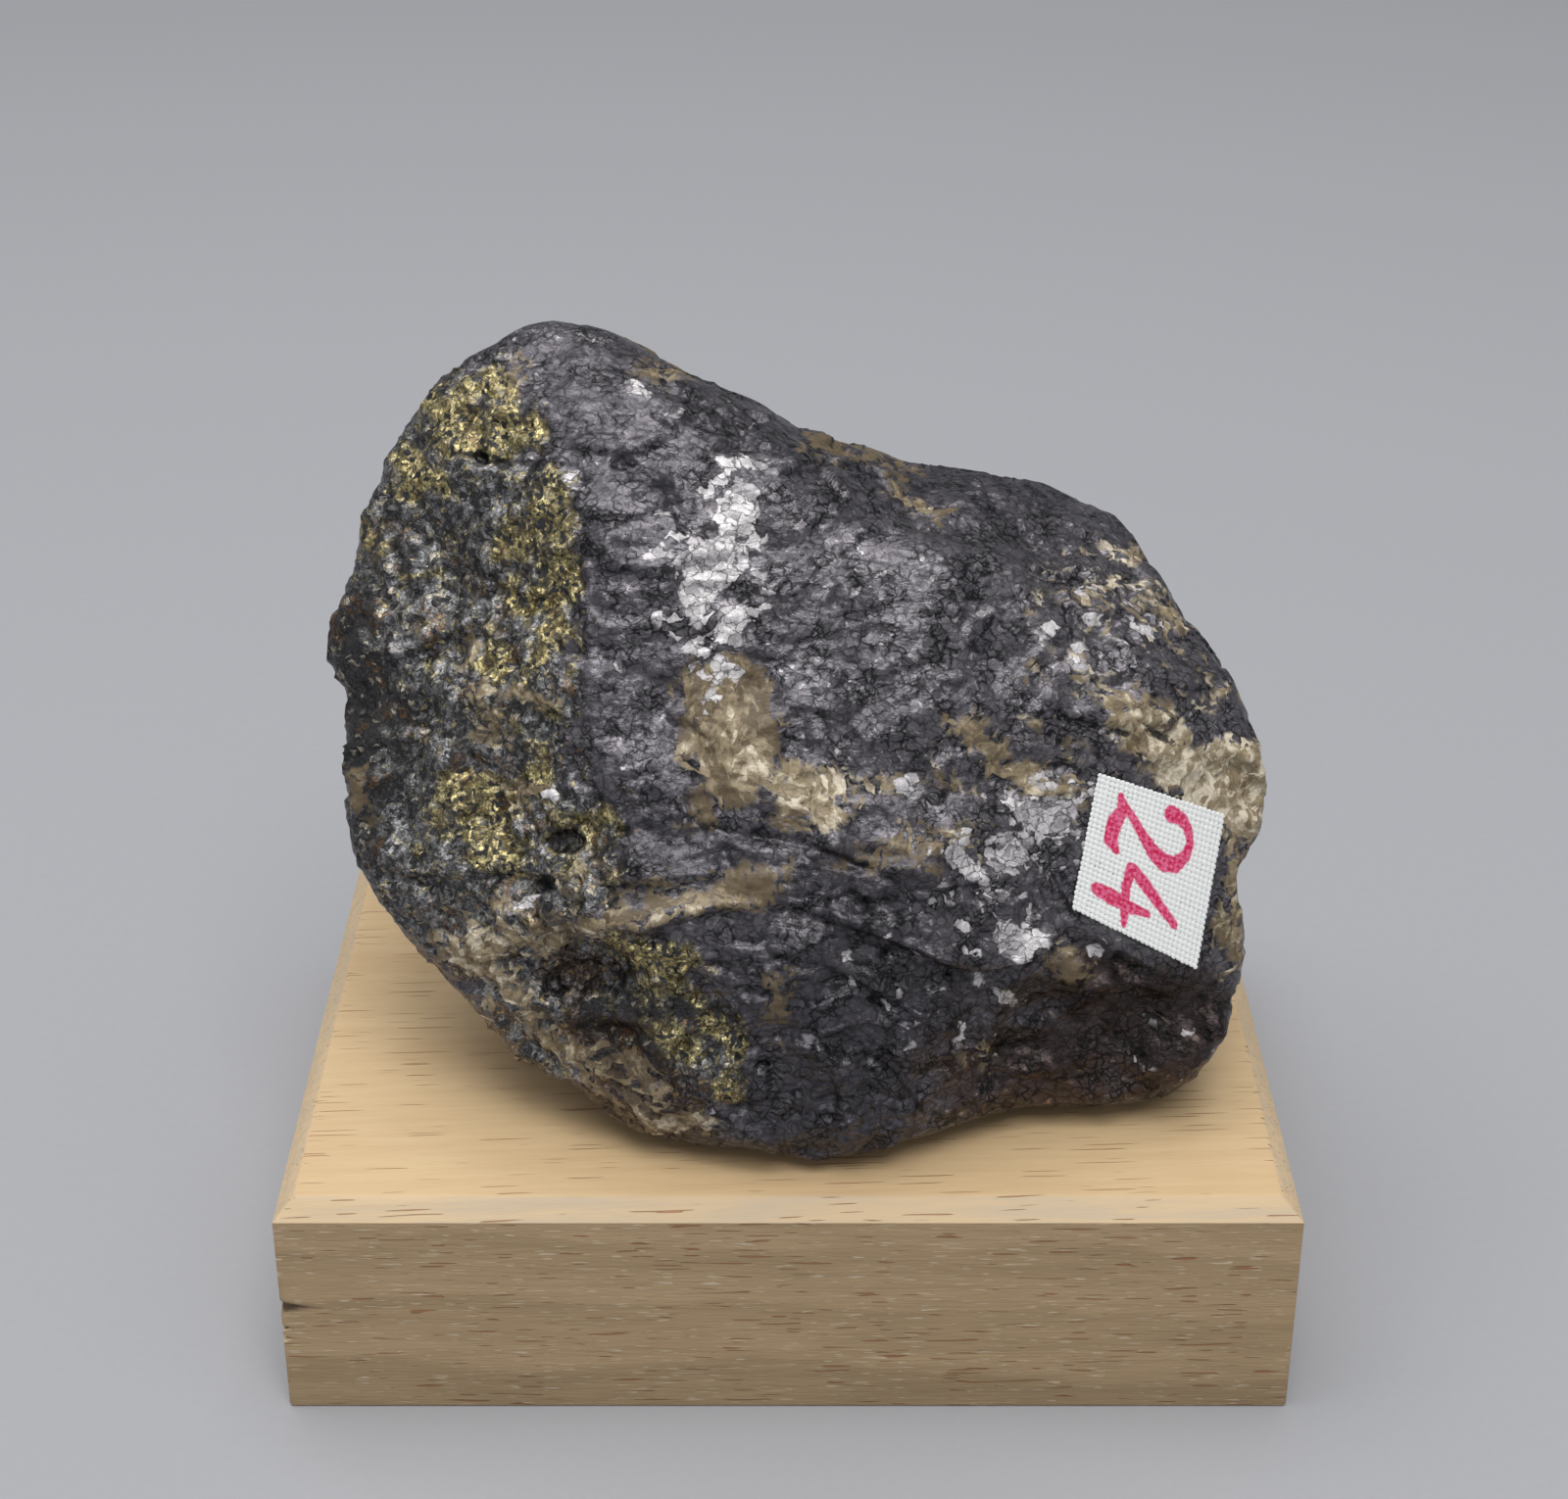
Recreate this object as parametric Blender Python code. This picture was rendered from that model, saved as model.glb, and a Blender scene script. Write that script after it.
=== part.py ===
"""A broken lump of ullmannite ore on a chamfered wooden stand, with a small cloth number label.

Run with blender --background --python part.py. Metres, +Z up, -Y towards the viewer.
The origin is the middle of the stand's underside.

The stone is shaped in millimetres in its own leaning frame, whose axes are across (to the
viewer's right), up (along the leaning broad face) and forward (out of the broad face). Its
widest outline is a rim in that frame, rounded over to the front and the back, then broken
off along flat faces.
"""

import math

import bmesh
import bpy
from mathutils import Matrix, Vector, noise
from mathutils.geometry import intersect_point_line

MM = 0.001

# Stand: one block of pale wood with a chamfer round its top
STAND_WIDTH = 0.100
STAND_DEPTH = 0.080
STAND_HEIGHT = 0.025
CHAMFER_WIDTH = 0.0022
CHAMFER_HEIGHT = 0.0016
STAND_EASING = 0.0004

# Clearance between pieces that touch
GAP = 0.0003
SEAT_HEIGHT = STAND_HEIGHT + GAP

# Stone: where its leaning frame stands in the world
LEAN = math.radians(29.4)
STONE_CENTRE = Vector((-0.0004, -0.0112, 0.0595))

# Stone, in millimetres in the leaning frame
FRONT_REACH = 24.0
BACK_REACH = 46.0
ROUNDNESS = 2.5
EDGE_CRISPNESS = 32
MESH_LEVELS = 5
SHARP_ANGLE = math.radians(25.0)

# The rim, clockwise from the peak: across, up, forward
RIM = [
    (-21.8, 42.3, 2.0),
    (-18.3, 41.7, 2.0),
    (-14.6, 40.0, 2.0),
    (-10.9, 37.6, 2.0),
    (-7.7, 35.8, 2.0),
    (-2.3, 34.3, 0.0),
    (-0.4, 32.9, -1.0),
    (1.4, 31.4, -3.0),
    (4.9, 32.1, -7.0),
    (8.3, 32.3, -10.0),
    (10.8, 31.4, -12.0),
    (13.5, 29.7, -12.0),
    (20.9, 28.7, -12.0),
    (28.4, 28.4, -11.0),
    (30.0, 26.2, -10.0),
    (32.4, 25.6, -9.0),
    (35.6, 22.2, -7.0),
    (36.7, 19.0, -6.0),
    (38.2, 17.2, -5.0),
    (39.4, 13.9, -4.0),
    (42.3, 9.9, -2.0),
    (45.1, 5.7, -1.0),
    (46.6, 1.5, 0.0),
    (47.3, -5.5, 0.0),
    (46.7, -8.3, 0.0),
    (44.2, -11.0, 0.0),
    (44.6, -14.2, -1.0),
    (45.9, -19.0, -1.0),
    (45.2, -22.1, 0.0),
    (44.2, -27.0, 0.0),
    (42.0, -30.9, 0.0),
    (40.9, -35.0, 0.0),
    (37.8, -35.7, -1.0),
    (33.4, -36.0, -3.0),
    (27.0, -36.0, -4.0),
    (21.4, -36.0, -3.0),
    (17.5, -36.9, -1.0),
    (12.9, -38.2, 2.0),
    (7.0, -39.9, 3.8),
    (4.7, -41.2, 4.4),
    (2.3, -40.9, 4.4),
    (-3.6, -39.2, 4.0),
    (-9.9, -39.2, 3.0),
    (-15.9, -38.0, 1.5),
    (-20.3, -33.7, 1.0),
    (-24.3, -32.1, 0.0),
    (-28.5, -28.6, 0.0),
    (-34.3, -21.5, 0.0),
    (-37.0, -19.9, 0.0),
    (-39.1, -15.7, 0.0),
    (-42.4, -11.8, 0.0),
    (-43.6, -4.2, 0.0),
    (-43.1, 4.8, 0.0),
    (-45.2, 8.5, 0.0),
    (-45.2, 11.0, 0.0),
    (-43.4, 15.0, 0.0),
    (-42.2, 20.2, 0.0),
    (-41.0, 24.7, 0.0),
    (-39.0, 28.0, 0.0),
    (-37.0, 32.0, 0.0),
    (-33.0, 37.0, 1.0),
    (-27.3, 40.3, 2.0),
    (-24.5, 42.3, 2.0),
]

# Flat faces that the stone broke along: a place on the face, and the way that the face looks
FACES = {
    "main": ((4.0, 4.0, 15.5), (0.02, 0.06, 1.0)),
    "main_right": ((26.0, 4.0, 12.8), (0.28, 0.06, 1.0)),
    "left_rough": ((-20.0, 5.0, 14.4), (-0.44, 0.02, 0.90)),
    "peak": ((-15.0, 30.0, 12.6), (-0.06, 0.50, 0.86)),
    "peak_right": ((-4.0, 30.0, 10.4), (0.38, 0.72, 0.60)),
    "right_upper": ((33.0, 12.0, 9.5), (0.55, 0.38, 0.74)),
    "label_face": ((35.0, -11.3, 8.0), (0.34, -0.14, 0.93)),
    "lower_middle": ((6.0, -18.5, 16.5), (0.02, -0.46, 0.89)),
    "chin": ((4.0, -39.3, 7.9), (0.05, -0.70, 0.71)),
    "lower_left": ((-25.0, -21.0, 8.5), (-0.42, -0.50, 0.76)),
    "back": ((0.0, 4.0, -38.0), (0.05, 0.18, -0.98)),
    "back_left": ((-28.0, 4.0, -26.0), (-0.66, 0.10, -0.74)),
    "back_right": ((30.0, 0.0, -27.0), (0.60, 0.05, -0.80)),
    "back_peak": ((-16.0, 30.0, -18.0), (-0.10, 0.72, -0.69)),
    "back_shoulder": ((16.0, 22.0, -26.0), (0.16, 0.74, -0.65)),
    "back_left_foot": ((-26.0, -18.0, -18.0), (-0.60, -0.52, -0.60)),
}

# Faces that broke lower than what stands to their left, beside the peak and beside the lowest
# tip. Each has where across it starts and how far it takes to come in, from clear of the stone
STEPPED_FACES = {
    "shoulder": ((10.0, 26.2, 10.0), (0.20, 0.95, 0.23), -4.0, 9.0),
    "lower_right": ((34.0, -21.0, 9.2), (0.05, -0.57, 0.82), 2.0, 24.0),
}
STEP_CLEAR = 0.6

# Hollows (positive depth) and lumps (negative): a place on the surface, its reach and its depth
HOLLOWS = {
    "under_vein": ((-19.0, -22.5, 10.0), 9.0, 4.6),
    "under_vein_right": ((-9.0, -26.0, 11.5), 6.0, 2.0),
    "under_label": ((28.0, -28.0, 5.0), 9.5, 3.6),
    "beside_tan": ((3.0, 0.0, 15.6), 5.0, 1.0),
    "left_cavity": ((-23.5, -11.0, 12.0), 5.5, 2.4),
    "left_scoop": ((-31.0, 16.0, 8.0), 9.0, 1.6),
    "back_scoop": ((10.0, 8.0, -38.0), 14.0, 3.2),
    "back_bite": ((-24.0, -6.0, -28.0), 11.0, 3.4),
    "right_lump": ((39.0, -28.5, 3.0), 6.5, -2.4),
    "vein_ledge": ((-15.0, -16.0, 13.0), 5.5, -1.4),
    "left_knob": ((-43.0, 10.0, 2.0), 6.0, -0.8),
    "back_knob": ((26.0, -12.0, -29.0), 11.0, -2.6),
}

# Roughness of the broken surface: size and height of its lumps, and how much of it the rim keeps
LUMPS = ((11.0, 1.3), (4.2, 0.7))
RIM_ROUGHNESS = 0.25

# Cloth label: its corners (across, up) clockwise from the upper left, in the leaning frame
LABEL_CORNERS = [(30.0, -2.2), (42.2, -6.3), (39.6, -20.8), (27.6, -15.0)]
LABEL_THICKNESS = 0.00035
LABEL_CELLS = (12, 14)

# The gently bent bed that the label lies on, and how far the bed runs on past the label
BED_CENTRE = Vector((35.0, -11.3, 8.0))
BED_SLOPE_ACROSS = -0.36
BED_SLOPE_UP = 0.15
BED_BEND = 0.010
BED_MARGIN = 4.0
BED_BLEND = 3.0


def clear_scene():
    """Remove what the startup scene holds."""
    for thing in list(bpy.data.objects):
        bpy.data.objects.remove(thing)


def material(name, colour, roughness, metallic):
    """A plain Principled material."""
    made = bpy.data.materials.new(name)
    made.use_nodes = True
    shader = made.node_tree.nodes["Principled BSDF"]
    shader.inputs["Base Color"].default_value = (*colour, 1.0)
    shader.inputs["Roughness"].default_value = roughness
    shader.inputs["Metallic"].default_value = metallic
    return made


def placed(name, mesh_builder, finish):
    """Turn a finished bmesh into a named object in the scene."""
    mesh = bpy.data.meshes.new(name)
    mesh_builder.to_mesh(mesh)
    mesh_builder.free()
    mesh.materials.append(finish)
    made = bpy.data.objects.new(name, mesh)
    bpy.context.scene.collection.objects.link(made)
    return made


def leaning_frame():
    """Matrix from millimetres (across, up, forward) in the leaning frame to the world."""
    across = Vector((1.0, 0.0, 0.0))
    up = Vector((0.0, math.sin(LEAN), math.cos(LEAN)))
    forward = Vector((0.0, -math.cos(LEAN), math.sin(LEAN)))
    turn = Matrix((across, up, forward)).transposed().to_4x4()
    return Matrix.Translation(STONE_CENTRE) @ turn @ Matrix.Scale(MM, 4)


def smooth_step(share):
    """Ease from 0 to 1 as a share goes from 0 to 1."""
    held = min(1.0, max(0.0, share))
    return held * held * (3.0 - 2.0 * held)


def rim_at(angle, rim_by_angle):
    """Distance out and distance forward of the rim at an angle, straight between its points."""
    count = len(rim_by_angle)
    for i in range(count):
        start, reach_a, forward_a = rim_by_angle[i]
        end, reach_b, forward_b = rim_by_angle[(i + 1) % count]
        if i == count - 1:
            end += 2.0 * math.pi
        turned = angle if angle >= start else angle + 2.0 * math.pi
        if start <= turned <= end:
            share = (turned - start) / max(end - start, 1e-9)
            return reach_a + share * (reach_b - reach_a), forward_a + share * (forward_b - forward_a)
    return rim_by_angle[0][1], rim_by_angle[0][2]


def rounded_lump(direction, rim_by_angle):
    """The point of the unbroken lump in a direction: the rim, rounded over to the front and back."""
    angle = math.atan2(direction.y, direction.x)
    reach, forward = rim_at(angle, rim_by_angle)
    along = direction.z
    side = math.sqrt(max(0.0, 1.0 - along * along))
    out = side ** (2.0 / ROUNDNESS)
    rise = abs(along) ** (2.0 / ROUNDNESS)
    deep = FRONT_REACH * rise if along > 0.0 else -BACK_REACH * rise
    return Vector((reach * math.cos(angle) * out, reach * math.sin(angle) * out, forward * out + deep))


def share_of_face(point, place, looks):
    """How far out a point is, as a share of its distance to a flat face in the same direction."""
    return max(0.0, point.dot(Vector(looks)) / Vector(place).dot(Vector(looks)))


def broken_off(point):
    """Pull a point in to the faces that the stone broke along, with slightly worn edges between them."""
    total = 1.0
    for place, looks in FACES.values():
        total += share_of_face(point, place, looks) ** EDGE_CRISPNESS
    for place, looks, start, blend in STEPPED_FACES.values():
        come_in = STEP_CLEAR + (1.0 - STEP_CLEAR) * smooth_step((point.x - start) / blend)
        total += (come_in * share_of_face(point, place, looks)) ** EDGE_CRISPNESS
    return point * total ** (-1.0 / EDGE_CRISPNESS)


def hollowed(point):
    """Sink hollows into the surface and raise lumps on it, towards or away from the middle."""
    moved = point.copy()
    inward = -point.normalized()
    for place, reach, depth in HOLLOWS.values():
        apart = (point - Vector(place)).length / reach
        if apart < 1.0:
            moved += inward * depth * (1.0 - apart * apart) ** 2
    return moved


def roughened(point, from_rim):
    """Break up the surface with lumps of two sizes, less at the rim so that the outline holds."""
    raised = 0.0
    for size, height in LUMPS:
        raised += height * noise.fractal(point / size, 1.0, 2.0, 3)
    calm = RIM_ROUGHNESS + (1.0 - RIM_ROUGHNESS) * smooth_step(from_rim)
    return point + point.normalized() * raised * calm


def label_bed(across, up):
    """How far forward the cloth label's back lies at a place, on a gently bent face."""
    right = across - BED_CENTRE.x
    above = up - BED_CENTRE.y
    return BED_CENTRE.z + BED_SLOPE_ACROSS * right + BED_SLOPE_UP * above - BED_BEND * right * right


def outside_label(across, up):
    """Distance from a place to the label's outline, nought inside it."""
    place = Vector((across, up, 0.0))
    corners = [Vector((*corner, 0.0)) for corner in LABEL_CORNERS]
    away = []
    inside = True
    for i, start in enumerate(corners):
        end = corners[(i + 1) % len(corners)]
        if (end - start).cross(place - start).z > 0.0:
            inside = False
        nearest, share = intersect_point_line(place, start, end)
        if share < 0.0:
            nearest = start
        elif share > 1.0:
            nearest = end
        away.append((place - nearest).length)
    return 0.0 if inside else min(away)


def bedded(point):
    """Keep the stone under the label flat, just clear of the label's back."""
    if point.z < 0.0:
        return point
    away = outside_label(point.x, point.y)
    keep = smooth_step((away - BED_MARGIN) / BED_BLEND)
    bed = label_bed(point.x, point.y) - GAP / MM
    return Vector((point.x, point.y, bed + keep * (point.z - bed)))


def seated(point, centre):
    """Cut a world point back along its line from the stone's middle to the stand's top."""
    if point.z >= SEAT_HEIGHT:
        return point
    return centre + (point - centre) * ((SEAT_HEIGHT - centre.z) / (point.z - centre.z))


def make_stone(finish):
    """The stone: one closed lump, broken along its faces and seated on the stand."""
    rim_by_angle = sorted(
        (math.atan2(up, across), math.hypot(across, up), forward) for across, up, forward in RIM
    )
    to_world = leaning_frame()
    stone = bmesh.new()
    bmesh.ops.create_icosphere(stone, subdivisions=MESH_LEVELS, radius=1.0)
    for vertex in stone.verts:
        from_rim = 2.0 * abs(vertex.co.z)
        point = broken_off(rounded_lump(vertex.co.normalized(), rim_by_angle))
        point = bedded(roughened(hollowed(point), from_rim))
        vertex.co = seated(to_world @ point, STONE_CENTRE)
    bmesh.ops.recalc_face_normals(stone, faces=stone.faces)
    made = placed("ullmannite_stone", stone, finish)
    made.data.shade_smooth()
    made.data.set_sharp_from_angle(angle=SHARP_ANGLE)
    return made


def make_label(finish):
    """The cloth label: a thin four-sided sheet that follows its bed on the stone."""
    columns, rows = LABEL_CELLS
    upper_left, upper_right, lower_right, lower_left = [Vector(corner) for corner in LABEL_CORNERS]
    to_world = leaning_frame()
    label = bmesh.new()
    bmesh.ops.create_grid(label, x_segments=columns, y_segments=rows, size=0.5)
    for vertex in label.verts:
        right = vertex.co.x + 0.5
        below = 0.5 - vertex.co.y
        top = upper_left.lerp(upper_right, right)
        bottom = lower_left.lerp(lower_right, right)
        place = top.lerp(bottom, below)
        vertex.co = to_world @ Vector((place.x, place.y, label_bed(place.x, place.y)))
    made = placed("number_label", label, finish)
    cloth = made.modifiers.new("cloth", "SOLIDIFY")
    cloth.thickness = LABEL_THICKNESS
    cloth.offset = 1.0
    return made


def make_stand(finish):
    """The stand: a block whose top edges are chamfered, with every edge slightly eased."""
    stand = bmesh.new()
    bmesh.ops.create_cube(stand, size=1.0)
    bmesh.ops.scale(stand, vec=(STAND_WIDTH, STAND_DEPTH, STAND_HEIGHT), verts=stand.verts)
    bmesh.ops.translate(stand, vec=(0.0, 0.0, STAND_HEIGHT / 2.0), verts=stand.verts)
    everything = stand.verts[:] + stand.edges[:] + stand.faces[:]
    foot_of_chamfer = (0.0, 0.0, STAND_HEIGHT - CHAMFER_HEIGHT)
    bmesh.ops.bisect_plane(stand, geom=everything, plane_co=foot_of_chamfer, plane_no=(0.0, 0.0, 1.0))
    for vertex in stand.verts:
        if vertex.co.z > STAND_HEIGHT - CHAMFER_HEIGHT / 2.0:
            vertex.co.x -= math.copysign(CHAMFER_WIDTH, vertex.co.x)
            vertex.co.y -= math.copysign(CHAMFER_WIDTH, vertex.co.y)
    made = placed("wooden_stand", stand, finish)
    easing = made.modifiers.new("easing", "BEVEL")
    easing.width = STAND_EASING
    easing.segments = 2
    easing.limit_method = "ANGLE"
    easing.angle_limit = math.radians(20.0)
    return made


def main():
    """Build the three pieces."""
    clear_scene()
    make_stand(material("stand_wood", (0.72, 0.53, 0.31), 0.6, 0.0))
    make_stone(material("ullmannite_ore", (0.13, 0.125, 0.14), 0.42, 0.7))
    make_label(material("label_cloth", (0.82, 0.84, 0.82), 0.9, 0.0))


main()
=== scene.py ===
"""Visual model of a broken lump of ullmannite ore on a wooden stand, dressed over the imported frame.

Lengths named in millimetres are measured in the stone's leaning frame: across (to the viewer's
right), up (along the leaning broad face) and forward (out of that face). All else is in metres.
"""
import logging
import math
from dataclasses import dataclass, field
from enum import Enum
from functools import cache

import bmesh
import bpy
import numpy as np
from bmesh.types import BMesh, BMVert
from bpy.types import Material, Mesh, Node, NodeSocket, NodeTree, Object
from mathutils import Euler, Matrix, Vector, noise


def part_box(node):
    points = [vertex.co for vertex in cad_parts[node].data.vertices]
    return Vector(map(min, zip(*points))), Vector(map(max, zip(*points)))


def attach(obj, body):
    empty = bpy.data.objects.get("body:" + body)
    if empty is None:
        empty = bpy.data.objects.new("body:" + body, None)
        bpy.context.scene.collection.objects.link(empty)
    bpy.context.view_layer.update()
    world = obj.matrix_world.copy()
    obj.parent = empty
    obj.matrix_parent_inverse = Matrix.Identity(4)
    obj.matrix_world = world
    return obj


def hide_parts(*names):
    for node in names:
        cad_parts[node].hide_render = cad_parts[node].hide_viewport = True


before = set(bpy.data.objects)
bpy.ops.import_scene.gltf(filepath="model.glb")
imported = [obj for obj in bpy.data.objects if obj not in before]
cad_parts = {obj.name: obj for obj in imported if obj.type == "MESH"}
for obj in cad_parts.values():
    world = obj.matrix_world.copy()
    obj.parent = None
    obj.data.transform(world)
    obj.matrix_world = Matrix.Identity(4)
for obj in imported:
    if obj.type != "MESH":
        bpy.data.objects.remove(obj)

LOG = logging.getLogger("ullmannite")
MM = 0.001
ROOT = "root"
VECTOR = "NodeSocketVector"
NUMBER = "NodeSocketFloat"

Colour = tuple[float, float, float]
Place = tuple[float, float]


class Mineral(Enum):
    """What the stone shows at a place, and the name of the attribute that holds its depth there."""

    CARBONATE = "carbonate"
    BRASS = "brass"
    # Cleavage faces painted bright: partly their own paler colour, partly painted reflection of the lamps.
    MIRROR = "mirror"
    GRANULAR = "granular"
    # Painted shade in the hollows and under the stone, browned to stand in for light thrown back from the
    # wood.
    PAINTED_SHADE = "stain"
    # Small pits, painted near-black as painted shade.
    PIT = "pit"
    # Partly paler ore and partly painted sheen where faces catch the light.
    PALE_AND_LIT = "pale"
    # Painted shade: zones where the ore is darkened because it faces down or turns away from the light.
    SHADED_ORE = "dull"


@dataclass(frozen=True)
class Patch:
    """An oval patch in millimetres as seen on the leaning plane, with its turn in degrees.

    A patch whose greatest depth is below 0 is thin, and shows in some of its grains only.
    """

    across: float
    up: float
    half_width: float
    half_height: float
    turn: float = 0.0
    most: float = 99.0

    def depth(self, seen: np.ndarray) -> np.ndarray:
        """How far inside the patch each place is.

        Args:
            seen: places on the leaning plane, one row each.

        Returns:
            Millimetres inside the outline, negative outside.
        """
        away = seen - np.array([self.across, self.up])
        turn = math.radians(self.turn)
        along = (away[:, 0] * math.cos(turn) + away[:, 1] * math.sin(turn)) / self.half_width
        over = (away[:, 1] * math.cos(turn) - away[:, 0] * math.sin(turn)) / self.half_height
        return np.minimum((1.0 - np.hypot(along, over)) * min(self.half_width, self.half_height), self.most)


def beside(places: np.ndarray, start: Place, end: Place) -> tuple[np.ndarray, np.ndarray]:
    """How places lie to a straight line.

    Args:
        places: flat places, one row each.
        start: the line's start.
        end: its end.

    Returns:
        For each place, the share of the line at its nearest point, and the distance to that point.
    """
    run = np.array(end) - np.array(start)
    off = places - np.array(start)
    share = np.clip(off @ run / (run @ run), 0.0, 1.0)
    return share, np.linalg.norm(off - share[:, None] * run, axis=1)


@dataclass(frozen=True)
class Vein:
    """A strip along a bent line, in millimetres as seen on the leaning plane."""

    line: tuple[Place, ...]
    half_width: float

    def depth(self, seen: np.ndarray) -> np.ndarray:
        """How far inside the strip each place is.

        Args:
            seen: places on the leaning plane, one row each.

        Returns:
            Millimetres inside the strip's edge, negative outside.
        """
        nearest = np.full(len(seen), np.inf)
        for start, end in zip(self.line, self.line[1:]):
            nearest = np.minimum(nearest, beside(seen, start, end)[1])
        return self.half_width - nearest


@dataclass(frozen=True)
class LeaningFrame:
    """The stone's own frame, in which its outline and its patches are measured."""

    centre: Vector = field(default_factory=lambda: Vector((-0.0004, -0.0112, 0.0595)))
    tilt: float = math.radians(60.6)
    eye_distance: float = 278.0

    def matrix(self) -> Matrix:
        """Matrix from millimetres in the leaning frame to the world."""
        turn = Euler((self.tilt, 0.0, 0.0)).to_matrix().to_4x4()
        return Matrix.Translation(self.centre) @ turn @ Matrix.Scale(MM, 4)

    def into(self, points: np.ndarray) -> np.ndarray:
        """World points in metres, turned into millimetres in the leaning frame."""
        back = np.array(self.matrix().inverted())
        return points @ back[:3, :3].T + back[:3, 3]

    def out_of(self, places: np.ndarray) -> np.ndarray:
        """Places in the leaning frame in millimetres, turned into world points in metres."""
        forth = np.array(self.matrix())
        return places @ forth[:3, :3].T + forth[:3, 3]

    def seen(self, places: np.ndarray) -> np.ndarray:
        """Where each place shows on the leaning plane from the distance that it was measured from."""
        nearer = self.eye_distance / (self.eye_distance - places[:, 2:3])
        return places[:, :2] * nearer


LEANING = LeaningFrame()


def smooth_step(low: float, high: float, value: np.ndarray) -> np.ndarray:
    """Ease from 0 to 1 as a value goes from low to high.

    Args:
        low: where it starts.
        high: where it ends.
        value: the values.

    Returns:
        Shares from 0 to 1.
    """
    share = np.clip((value - low) / (high - low), 0.0, 1.0)
    return share * share * (3.0 - 2.0 * share)


def make_object(name: str, shape: BMesh) -> Object:
    """Turn a finished bmesh into an object at the origin.

    Args:
        name: the piece's name.
        shape: the bmesh, which is freed.

    Returns:
        The new object, linked to the scene.
    """
    mesh = bpy.data.meshes.new(name)
    shape.to_mesh(mesh)
    shape.free()
    made = bpy.data.objects.new(name, mesh)
    bpy.context.scene.collection.objects.link(made)
    return made


def at_points(mesh: Mesh, name: str) -> np.ndarray:
    """What a mesh holds for each of its points.

    Args:
        mesh: the mesh.
        name: co for the places, normal for the normals.

    Returns:
        One row for each point.
    """
    flat = np.empty(len(mesh.vertices) * 3)
    mesh.vertices.foreach_get(name, flat)
    return flat.reshape(-1, 3)


def store(mesh: Mesh, name: str, values: np.ndarray) -> None:
    """Keep one number for each point of a mesh under a name that a material can read.

    Args:
        mesh: the mesh.
        name: the attribute's name.
        values: one number for each point.
    """
    held = mesh.attributes.new(name, "FLOAT", "POINT")
    held.data.foreach_set("value", np.ascontiguousarray(values, dtype=np.float32))


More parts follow.
